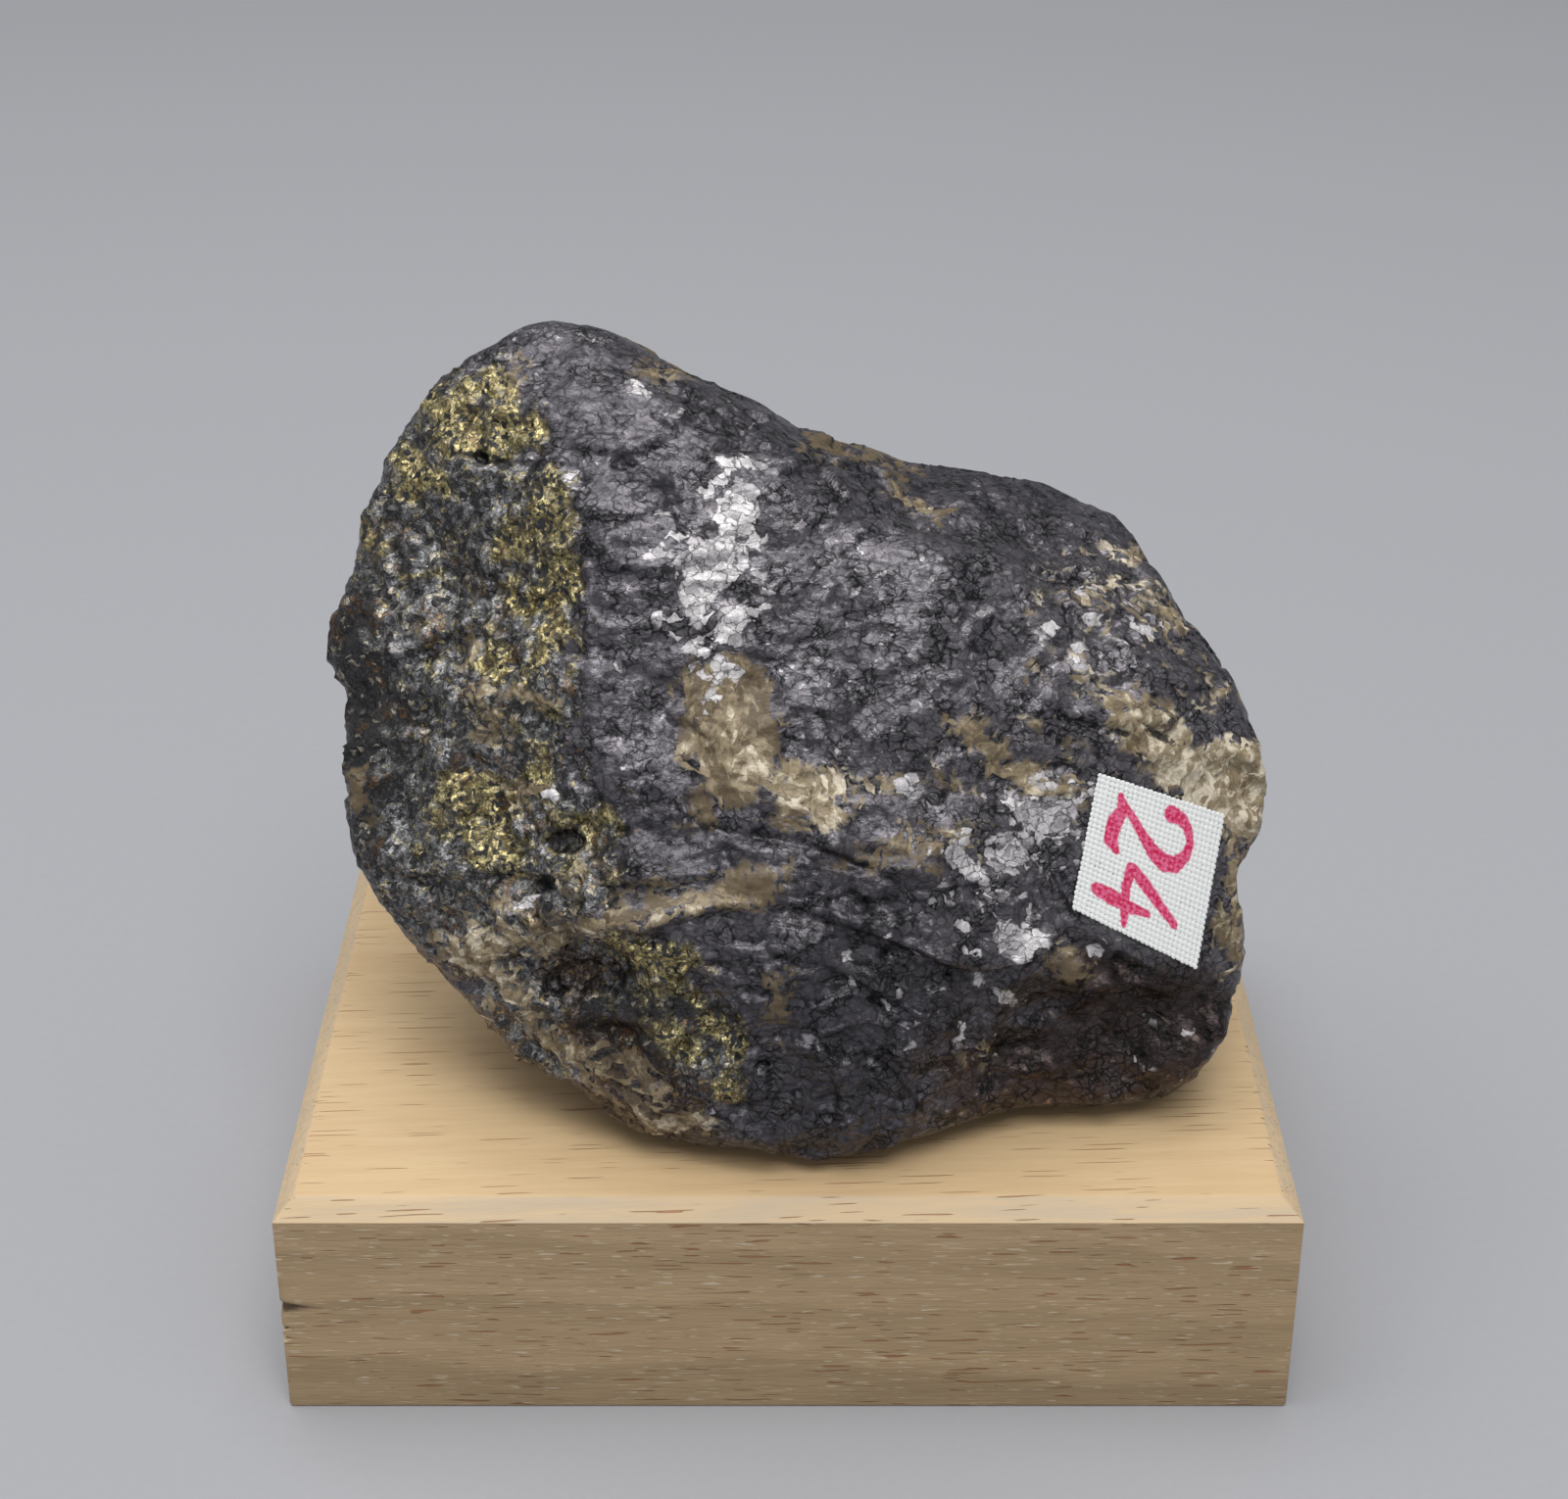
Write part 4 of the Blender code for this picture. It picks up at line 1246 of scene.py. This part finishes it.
@dataclass
class Stone:
    """The stone: the solid's skin, made fine and broken up by what each mineral does to it."""

    node: str = "ullmannite_stone"
    cuts: int = 5
    smoothing: int = 6
    seat: float = 0.02515
    seed: int = 24
    ledges: tuple[Ledge, ...] = (
        Ledge(((-23.6, 30.3), (-19.4, 29.6), (-14.5, 29.8), (-11.1, 31.3), (-7.6, 35.2)), 0.30, 2.5),
        Ledge(((1.0, 31.0), (4.0, 28.0), (9.0, 26.0), (14.0, 23.5), (20.0, 24.0)), -0.45, 2.5),
        Ledge(((-2.0, -14.0), (5.0, -17.0), (11.0, -19.2), (18.0, -21.8), (25.0, -20.8), (29.0, -16.4),
               (36.0, -21.8), (41.0, -23.8), (46.0, -23.2)), 0.95, 3.5),
        Ledge(((0.0, -7.8), (6.8, -11.1), (15.5, -13.6), (25.9, -12.8)), 0.45, 2.2),
        Ledge(((9.7, -20.2), (14.0, -19.4), (18.4, -19.6), (25.9, -20.8)), -0.35, 1.6),
        Ledge(((2.0, -20.5), (6.8, -22.8), (15.5, -27.8), (20.0, -29.6)), 0.45, 2.4),
        Ledge(((15.5, -37.3), (9.7, -31.5), (2.9, -28.6), (-3.9, -28.6)), 0.60, 3.0),
        Ledge(((4.0, -29.0), (5.4, -34.0), (5.0, -41.0)), 0.45, 2.0),
        Ledge(((-22.0, 27.5), (-20.3, 20.0), (-20.0, 8.0), (-20.0, 0.0), (-17.5, -8.0), (-15.0, -13.0)),
              0.14, 3.0),
        Ledge(((-33.0, -21.2), (-24.0, -20.0), (-14.0, -18.0), (-7.0, -16.0), (0.0, -15.5)), 0.60, 1.8),
        Ledge(((-30.0, -23.5), (-27.0, -27.5), (-23.5, -31.0), (-17.0, -33.5)), -0.50, 1.8),
        Ledge(((24.0, 16.0), (29.0, 18.9), (34.9, 19.9), (38.5, 16.0)), -0.35, 2.0),
        Ledge(((22.0, -9.5), (25.7, -12.0), (27.0, -15.5), (30.0, -19.0)), -0.40, 1.6),
        Ledge(((26.0, -24.0), (31.0, -25.0), (36.0, -24.0), (43.0, -26.5)), 0.55, 1.8),
        Ledge(((-12.0, 26.0), (-9.5, 20.0), (-12.0, 13.0), (-9.0, 8.5)), -0.22, 1.6),
        Ledge(((-43.5, 10.5), (-38.0, 9.0), (-34.0, 11.5), (-30.0, 11.0)), 0.70, 2.2),
        Ledge(((-40.0, -12.0), (-33.0, -12.6), (-26.0, -12.0), (-21.0, -13.5)), 0.55, 1.8),
    )
    hollows: tuple[tuple[Patch, float], ...] = (
        (Patch(33.5, -27.4, 10.5, 5.0, -6.0), 2.3), (Patch(-20.0, -8.2, 3.2, 2.8), 1.2),
        (Patch(-20.5, -22.6, 7.0, 2.4, 9.0), 1.5), (Patch(-17.0, -28.5, 5.5, 2.2), 1.1),
        (Patch(-33.5, 17.0, 3.2, 6.5), 1.0), (Patch(-37.5, -3.0, 3.2, 8.0), 0.8),
        (Patch(7.0, 28.3, 5.5, 1.8, -12.0), 0.9), (Patch(-2.0, -8.8, 6.0, 1.2, -5.0), 0.5),
        (Patch(-36.0, 3.0, 2.6, 3.0), 0.8), (Patch(14.5, -25.0, 7.0, 2.2, -30.0), 0.6),
        (Patch(38.0, 1.6, 2.4, 1.0, -30.0), 0.6), (Patch(-27.0, 24.5, 3.0, 1.6), 0.6),
        (Patch(9.0, -35.0, 2.2, 4.5, 20.0), 0.6),
    )
    broad: Facets = Facets(5.0, 0.24)
    small: Facets = Facets(1.8, 0.24)
    grains: Facets = Facets(1.5, 0.27)
    blades: Facets = Facets(1.6, 0.36)
    ledge_share: float = 1.5
    pit_depth: float = 1.1
    minerals: Minerals = field(default_factory=Minerals)
    finish: OreFinish = field(default_factory=OreFinish)

    def build(self) -> Object:
        """Make the piece.

        Returns:
            The finished stone.
        """
        stone = make_object("ullmannite_ore_lump", self._fine_skin())
        stone.data.shade_smooth()
        points = at_points(stone.data, "co")
        outward = at_points(stone.data, "normal")
        places = LEANING.into(points)
        facing = self._facing(places, outward)
        front = smooth_step(-0.30, 0.0, facing)
        depths = self.minerals.depths(places, front)
        for mineral in (kind for kind in Mineral if kind not in (Mineral.PALE_AND_LIT, Mineral.SHADED_ORE)):
            store(stone.data, mineral.value, depths[mineral])
        for name, shade in self.minerals.shades(places, depths).items():
            store(stone.data, name, shade)
        seen = LEANING.seen(places)
        squarely = smooth_step(0.05, 0.45, facing)
        raised = self._relief(places, depths) * (0.5 + 0.5 * squarely)
        raised += squarely * sum(ledge.rise(seen) for ledge in self.ledges) * self.ledge_share
        for hollow, sunk in self.hollows:
            reach = 0.8 * min(hollow.half_width, hollow.half_height)
            raised -= squarely * sunk * smooth_step(0.0, reach, hollow.depth(seen))
        raised *= 0.25 + 0.75 * smooth_step(self.seat, self.seat + 0.004, points[:, 2])
        raised *= BED.clear_of(places)
        moved = points + outward * raised[:, None] * MM
        moved[:, 2] = np.maximum(moved[:, 2], self.seat)
        stone.data.vertices.foreach_set("co", moved.ravel())
        stone.data.update()
        stone.data.materials.append(self.finish.build())
        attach(stone, ROOT)
        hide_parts(self.node)
        LOG.info("stone: %d points", len(points))
        return stone

    def _fine_skin(self) -> BMesh:
        """The solid's skin, merged, cut fine and smoothed until its flat facets are gone.

        Returns:
            The skin.
        """
        skin = bmesh.new()
        skin.from_mesh(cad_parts[self.node].data)
        bmesh.ops.remove_doubles(skin, verts=skin.verts, dist=1e-6)
        bmesh.ops.subdivide_edges(skin, edges=skin.edges, cuts=self.cuts, use_grid_fill=True)
        for _ in range(self.smoothing):
            bmesh.ops.smooth_vert(
                skin, verts=skin.verts, factor=0.5, use_axis_x=True, use_axis_y=True, use_axis_z=True
            )
        return skin

    @staticmethod
    def _facing(places: np.ndarray, outward: np.ndarray) -> np.ndarray:
        """How squarely each place looks back at where the outline was measured from.

        Args:
            places: places in the leaning frame, one row each.
            outward: the world normals there.

        Returns:
            From -1, turned away, to 1, square on.
        """
        turn = np.array(LEANING.matrix().to_3x3().normalized())
        local = outward @ turn
        sight = np.array([0.0, 0.0, LEANING.eye_distance]) - places
        sight /= np.linalg.norm(sight, axis=1)[:, None]
        return np.sum(local * sight, axis=1)

    def _relief(self, places: np.ndarray, depths: dict[Mineral, np.ndarray]) -> np.ndarray:
        """How far each place stands out from the smooth skin.

        Args:
            places: places in the leaning frame, one row each.
            depths: millimetres inside each mineral.

        Returns:
            Millimetres outward for each place.
        """
        shares = {mineral: smooth_step(-0.5, 0.5, depth) for mineral, depth in depths.items()}
        granular = np.maximum(shares[Mineral.GRANULAR], shares[Mineral.BRASS])
        dull = np.maximum(shares[Mineral.SHADED_ORE], shares[Mineral.PAINTED_SHADE])
        raised = np.zeros(len(places))
        noise.seed_set(self.seed)
        for i, row in enumerate(places):
            place = Vector(row)
            flat = Vector((row[0] * 0.6, row[1] * 1.3, row[2]))
            bent = flat + noise.noise_vector(place / 5.0) * 1.5
            swell = noise.noise(place / 9.0) * 0.6
            broad, _ = self.broad.at(bent)
            small, _ = self.small.at(bent)
            ridges = noise.ridged_multi_fractal(bent / 5.0, 1.0, 2.1, 4, 1.0, 2.0) - 1.0
            ore = swell + broad * (0.7 + 0.3 * dull[i]) + small * (0.35 + 0.65 * dull[i])
            ore += ridges * (0.06 + 0.34 * dull[i])
            rough = granular[i]
            if rough > 0.0:
                drawn = Vector((bent[0] / 1.4, bent[1] / 5.5, bent[2] / 2.0))
                streak = noise.fractal(drawn, 0.8, 2.1, 3) * 0.7
                grain, edge = self.grains.at(place)
                pitted = -1.2 * max(0.0, noise.noise(bent / 2.3) - 0.15)
                ore += rough * (streak + grain - 0.25 * max(0.0, 0.3 - edge) + pitted - 0.5 * small)
            tan = shares[Mineral.CARBONATE][i]
            if tan > 0.0:
                blade, _ = self.blades.at(Vector((row[0], row[1] * 1.6, row[2])))
                thick = min(1.0, max(0.2, 0.5 * depths[Mineral.CARBONATE][i]))
                ore += tan * (0.22 + blade * thick - 0.6 * small)
            bright = shares[Mineral.MIRROR][i]
            if bright > 0.0:
                ore -= bright * 0.75 * small
            raised[i] = ore - self.pit_depth * shares[Mineral.PIT][i]
        return raised


@dataclass
class NumberLabel:
    """The cut piece of woven tape, with its threads, its scalloped edge and an inked number.

    The digits are drawn on a cloth drawn_on millimetres square: places, and the pen's half width there.
    """

    node: str = "number_label"
    threads: tuple[int, int] = (28, 28)
    steps: int = 6
    thread_rise: float = 0.055
    crimp: float = 0.045
    half_thread: float = 0.395
    lift: float = 0.04
    backing: float = 0.22
    short_ends: float = 0.14
    notch: float = 0.18
    flat: Place = (0.0144, 0.0144)
    drawn_on: float = 14.0
    corners: tuple[Place, ...] = ((29.8, -2.1), (42.8, -6.2), (40.2, -21.5), (27.4, -15.2))
    digits: tuple[tuple[Place, tuple[tuple[tuple[float, float, float], ...], ...]], ...] = (
        ((0.9, 2.0), (
            ((0.7, 6.3, 0.80), (0.8, 7.4, 0.65), (1.5, 8.3, 0.48), (2.7, 8.8, 0.42), (4.0, 8.5, 0.55),
             (5.0, 7.6, 0.75), (5.2, 6.4, 0.85), (4.7, 5.2, 0.75), (3.6, 3.8, 0.55), (2.2, 2.3, 0.42),
             (0.9, 0.9, 0.32)),
            ((0.7, 0.8, 0.38), (1.9, 1.2, 0.60), (3.4, 0.6, 0.78), (5.0, 0.5, 0.72), (5.8, 1.3, 0.40)),
        )),
        ((7.5, 1.7), (
            ((3.6, 9.0, 0.40), (2.4, 7.0, 0.52), (1.2, 5.2, 0.62), (0.3, 3.7, 0.60)),
            ((0.3, 3.5, 0.60), (2.2, 3.3, 0.48), (4.2, 3.6, 0.50), (5.6, 3.8, 0.30)),
            ((3.7, 6.0, 0.35), (3.8, 4.0, 0.62), (3.6, 1.8, 0.80), (3.5, 0.4, 0.62)),
        )),
    )
    finish: ClothFinish = field(default_factory=ClothFinish)

    def build(self) -> Object:
        """Make the piece.

        Returns:
            The finished label.
        """
        across, down = self.threads
        cloth = bmesh.new()
        bmesh.ops.create_grid(cloth, x_segments=across * self.steps, y_segments=down * self.steps, size=0.5)
        label = make_object("number_label_cloth", cloth)
        flat = at_points(label.data, "co")
        weft = (flat[:, 0] + 0.5) * across
        warp = (0.5 - flat[:, 1]) * down
        rise, gap = self._weave(weft, warp)
        edged = self._scalloped(weft, warp)
        places = self._laid(edged / np.array([across, down]))
        facing = np.array([-BED.slope_across, -BED.slope_up, 1.0])
        facing /= np.linalg.norm(facing)
        places += facing * (rise + self.lift)[:, None]
        label.data.vertices.foreach_set("co", LEANING.out_of(places).ravel())
        store(label.data, "gap", gap)
        store(label.data, "crown", rise / (self.thread_rise + self.crimp))
        store(label.data, "ink", self._ink(weft / across * self.drawn_on, warp / down * self.drawn_on))
        label.data.update()
        label.data.shade_smooth()
        thick = label.modifiers.new("backing", "SOLIDIFY")
        thick.thickness = self.backing * MM
        thick.offset = -1.0
        label.data.materials.append(self.finish.build())
        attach(label, ROOT)
        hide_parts(self.node)
        LOG.info("label: %d points", len(flat))
        return label

    def _weave(self, weft: np.ndarray, warp: np.ndarray) -> tuple[np.ndarray, np.ndarray]:
        """A plain weave's surface.

        Args:
            weft: place across, counted in threads.
            warp: place down, counted in threads.

        Returns:
            Height in millimetres, and a share that is 1 in the holes between threads.
        """
        most = max(self.threads) + 2
        uneven = np.random.default_rng(11).uniform(0.84, 1.16, (2, most)) * self.half_thread
        column, round_column = self._rounded(weft, uneven[0])
        row, round_row = self._rounded(warp, uneven[1])
        over, under = np.cos(np.pi * column), np.cos(np.pi * row)
        upright = self.thread_rise * round_column + self.crimp * over * np.sin(np.pi * warp)
        level = self.thread_rise * round_row - self.crimp * under * np.sin(np.pi * weft)
        upright = np.where(round_column > 0.0, upright, -self.crimp)
        level = np.where(round_row > 0.0, level, -self.crimp)
        hole = np.random.default_rng(5).uniform(0.25, 1.0, (most, most))
        gap = smooth_step(0.50, 0.0, np.maximum(round_column, round_row))
        gap *= hole[np.rint(weft).astype(int), np.rint(warp).astype(int)]
        return np.maximum(upright, level), gap

    @staticmethod
    def _rounded(counted: np.ndarray, half_widths: np.ndarray) -> tuple[np.ndarray, np.ndarray]:
        """The round back of each thread.

        Args:
            counted: places, counted in threads.
            half_widths: each thread's half width, as a share of the spacing.

        Returns:
            Each place's thread, and the thread's height there, up to 1.
        """
        thread = np.floor(counted)
        off = (counted - thread - 0.5) / half_widths[thread.astype(int)]
        return thread, np.sqrt(np.clip(1.0 - off**2, 0.0, 1.0))

    def _scalloped(self, weft: np.ndarray, warp: np.ndarray) -> np.ndarray:
        """Pull the cut edge in between threads, and let some threads end short.

        Args:
            weft: place across, counted in threads.
            warp: place down, counted in threads.

        Returns:
            Moved places, counted in threads, one row each.
        """
        across, down = self.threads
        ends = np.random.default_rng(7).uniform(0.0, self.short_ends, (4, max(across, down) + 2))
        moved = (self._pulled_in(weft, warp, across, ends[:2]), self._pulled_in(warp, weft, down, ends[2:]))
        return np.stack(moved, axis=1)

    def _pulled_in(self, along: np.ndarray, over: np.ndarray, count: int, ends: np.ndarray) -> np.ndarray:
        """Pull the two ends of the threads that run one way in.

        Args:
            along: place along the threads, counted in crossing ones.
            over: place over them, counted in threads.
            count: how many crossing threads there are.
            ends: how short each thread ends, at its start and at its end.

        Returns:
            Moved places along the threads.
        """
        thread = np.floor(over).astype(int)
        notch = self.notch * np.abs(2.0 * (over - thread) - 1.0) ** 3
        start = smooth_step(1.0, 0.0, along) * (notch + ends[0][thread])
        return along + start - smooth_step(count - 1.0, count, along) * (notch + ends[1][thread])

    def _laid(self, shares: np.ndarray) -> np.ndarray:
        """Lay places on the bed.

        Args:
            shares: share across and share down, one row each.

        Returns:
            Places in the leaning frame, one row each.
        """
        upper_left, upper_right, lower_right, lower_left = (np.array(corner) for corner in self.corners)
        right, below = shares[:, 0:1], shares[:, 1:2]
        top = upper_left * (1.0 - right) + upper_right * right
        bottom = lower_left * (1.0 - right) + lower_right * right
        flat = top * (1.0 - below) + bottom * below
        return np.column_stack([flat, BED.forward(flat[:, 0], flat[:, 1])])

    def _ink(self, across: np.ndarray, down: np.ndarray) -> np.ndarray:
        """How deep inside the number's strokes each place is. The digits' tops point across.

        Args:
            across: millimetres across the flat cloth.
            down: millimetres down it.

        Returns:
            Millimetres inside a stroke, negative outside.
        """
        depth = np.full(len(across), -1.0)
        for (start_down, start_across), strokes in self.digits:
            here = np.stack([down - start_down, across - start_across], axis=1)
            for stroke in strokes:
                for (ax, ay, start_half), (bx, by, end_half) in zip(stroke, stroke[1:]):
                    share, away = beside(here, (ax, ay), (bx, by))
                    depth = np.maximum(depth, start_half + share * (end_half - start_half) - away)
        return depth


@dataclass
class WoodenStand:
    """The chamfered block, with the small chip on its front left edge."""

    node: str = "wooden_stand"
    chamfer: Place = (0.0022, 0.0016)
    easing: float = 0.00035
    nicks: tuple[tuple[float, float, float], ...] = (
        (0.0127, 0.0011, 0.0046), (0.0101, 0.0005, 0.0014), (0.0088, 0.0006, 0.0012),
    )
    nick_back: float = 0.0016
    nick_depth: float = 0.0007
    finish: WoodFinish = field(default_factory=WoodFinish)

    def build(self) -> Object:
        """Make the piece.

        Returns:
            The finished stand.
        """
        low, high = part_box(self.node)
        size = high - low
        block = bmesh.new()
        bmesh.ops.create_cube(block, size=1.0)
        bmesh.ops.scale(block, vec=size, verts=block.verts)
        bmesh.ops.translate(block, vec=(low + high) / 2.0, verts=block.verts)
        self._cut(block, Vector((0.0, 0.0, high.z - self.chamfer[1])), Vector((0.0, 0.0, 1.0)))
        for vertex in block.verts:
            if vertex.co.z > high.z - self.chamfer[1] / 2.0:
                vertex.co.x -= math.copysign(self.chamfer[0], vertex.co.x)
                vertex.co.y -= math.copysign(self.chamfer[0], vertex.co.y)
        edges = [edge for edge in block.edges if edge.calc_face_angle(0.0) > math.radians(20.0)]
        bmesh.ops.bevel(
            block, geom=edges, offset=self.easing, affect="EDGES", segments=2, profile=0.5, material=-1
        )
        self._chip(block, low)
        bmesh.ops.recalc_face_normals(block, faces=block.faces)
        stand = make_object("wooden_stand_block", block)
        stand.data.shade_smooth()
        stand.data.set_sharp_from_angle(angle=math.radians(30.0))
        self._mark_chip(stand.data, low)
        stand.data.materials.append(self.finish.build())
        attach(stand, ROOT)
        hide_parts(self.node)
        LOG.info("stand: %.0f by %.0f by %.0f mm", *(size / MM))
        return stand

    @staticmethod
    def _cut(block: BMesh, where: Vector, looks: Vector) -> None:
        """Cut the block's faces along a plane, without parting it."""
        everything = block.verts[:] + block.edges[:] + block.faces[:]
        bmesh.ops.bisect_plane(block, geom=everything, plane_co=where, plane_no=looks)

    def _chip(self, block: BMesh, low: Vector) -> None:
        """Break small splinters out of the front left edge.

        Args:
            block: the block.
            low: its lowest corner.
        """
        up, right, back = Vector((0.0, 0.0, 1.0)), Vector((1.0, 0.0, 0.0)), Vector((0.0, 1.0, 0.0))
        for middle, half, _ in self.nicks:
            for step in range(-4, 5):
                self._cut(block, up * (middle + step / 4.0 * half), up)
        reach = max(run for _, _, run in self.nicks)
        for share in (0.06, 0.12, 0.20, 0.32, 0.48, 0.70, 1.0):
            self._cut(block, low + right * share * reach, right)
            self._cut(block, low + back * share * self.nick_back, back)
        for vertex in block.verts:
            push = self.nick_depth * self._chipped(vertex.co, low)
            vertex.co.x += push
            vertex.co.y += push * 0.8

    def _chipped(self, point: Vector, low: Vector) -> float:
        """How much is chipped away at a point.

        Args:
            point: the point.
            low: the block's lowest corner.

        Returns:
            A share up to about 1, and 0 where nothing is missing.
        """
        most = 0.0
        for middle, half, run in self.nicks:
            across = (point.x - low.x) / run + (point.y - low.y) / self.nick_back
            level = abs(point.z - middle) / half
            torn = 0.8 + 0.5 * noise.noise(point * 1400.0)
            most = max(most, (1.0 - across - level) * torn)
        return most

    def _mark_chip(self, mesh: Mesh, low: Vector) -> None:
        """Mark where the splinters are missing, where the wood is painted near-black."""
        shares = np.array([self._chipped(vertex.co, low) for vertex in mesh.vertices])
        store(mesh, "chip", 0.9 * smooth_step(0.0, 0.22, shares))


@dataclass
class Studio:
    """A pale card floor that sweeps up behind, soft light from above, and the camera."""

    half_floor: float = 1.6
    wall_at: float = 0.75
    sweep: float = 0.30
    wall: float = 1.0
    aim: tuple[float, float, float] = (0.0, 0.0, 0.05)
    camera_place: tuple[float, float, float] = (-0.0004, -0.2534, 0.1960)
    camera_tilt: float = math.radians(60.6)
    lens: float = 64.53
    sensor: float = 36.0
    world: Colour = (0.93, 0.96, 1.0)
    world_strength: float = 0.42
    finish: BackdropFinish = field(default_factory=BackdropFinish)

    def build(self) -> None:
        """Make the floor, the lights and the camera."""
        self._backdrop()
        self._light("overhead", (-0.15, 0.05, 0.95), 0.9, 6.0)
        self._light("front", (0.10, -0.60, 1.12), 0.6, 7.2)
        scene = bpy.context.scene
        scene.world = bpy.data.worlds.new("studio")
        scene.world.use_nodes = True
        sky = scene.world.node_tree.nodes["Background"]
        sky.inputs["Color"].default_value = (*self.world, 1.0)
        sky.inputs["Strength"].default_value = self.world_strength
        scene.view_settings.view_transform = "Standard"
        self._camera()
        LOG.info("studio: floor, two lights and the camera")

    def _backdrop(self) -> None:
        """The card: a flat floor, a quarter-round sweep and a wall, extruded from one line."""
        card = bmesh.new()
        near = card.verts.new((-self.half_floor, -self.half_floor, 0.0))
        foot = card.verts.new((-self.half_floor, self.wall_at, 0.0))
        card.edges.new((near, foot))
        bend = bmesh.ops.spin(
            card, geom=[foot], cent=(-self.half_floor, self.wall_at, self.sweep), axis=(1.0, 0.0, 0.0),
            angle=math.radians(90.0), steps=24, use_merge=False,
        )
        top = [item for item in bend["geom_last"] if isinstance(item, BMVert)]
        raised = bmesh.ops.extrude_vert_indiv(card, verts=top)
        bmesh.ops.translate(card, vec=(0.0, 0.0, self.wall), verts=raised["verts"])
        swept = bmesh.ops.extrude_edge_only(card, edges=card.edges[:])
        moved = [item for item in swept["geom"] if isinstance(item, BMVert)]
        bmesh.ops.translate(card, vec=(2.0 * self.half_floor, 0.0, 0.0), verts=moved)
        bmesh.ops.recalc_face_normals(card, faces=card.faces)
        backdrop = make_object("backdrop_card", card)
        backdrop.data.shade_smooth()
        backdrop.data.materials.append(self.finish.build())

    def _light(self, name: str, place: tuple[float, float, float], size: float, power: float) -> None:
        """A square soft light, turned towards the stone.

        Args:
            name: its name.
            place: where it hangs.
            size: its side.
            power: its power in watts.
        """
        lamp = bpy.data.lights.new(name, "AREA")
        lamp.size = size
        lamp.energy = power
        holder = bpy.data.objects.new(name, lamp)
        holder.location = place
        holder.rotation_euler = (Vector(self.aim) - Vector(place)).to_track_quat("-Z", "Y").to_euler()
        bpy.context.scene.collection.objects.link(holder)

    def _camera(self) -> None:
        """The camera, at the photograph's viewing angle."""
        eye = bpy.data.cameras.new("camera")
        eye.lens = self.lens
        eye.sensor_width = self.sensor
        eye.clip_start = 0.01
        holder = bpy.data.objects.new("camera", eye)
        holder.location = self.camera_place
        holder.rotation_euler = (self.camera_tilt, 0.0, 0.0)
        bpy.context.scene.collection.objects.link(holder)
        bpy.context.scene.camera = holder


def main() -> None:
    """Build every piece in order."""
    logging.basicConfig(level=logging.INFO, format="%(name)s %(message)s")
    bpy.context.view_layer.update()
    WoodenStand().build()
    Stone().build()
    NumberLabel().build()
    Studio().build()


if __name__ == "__main__":
    main()
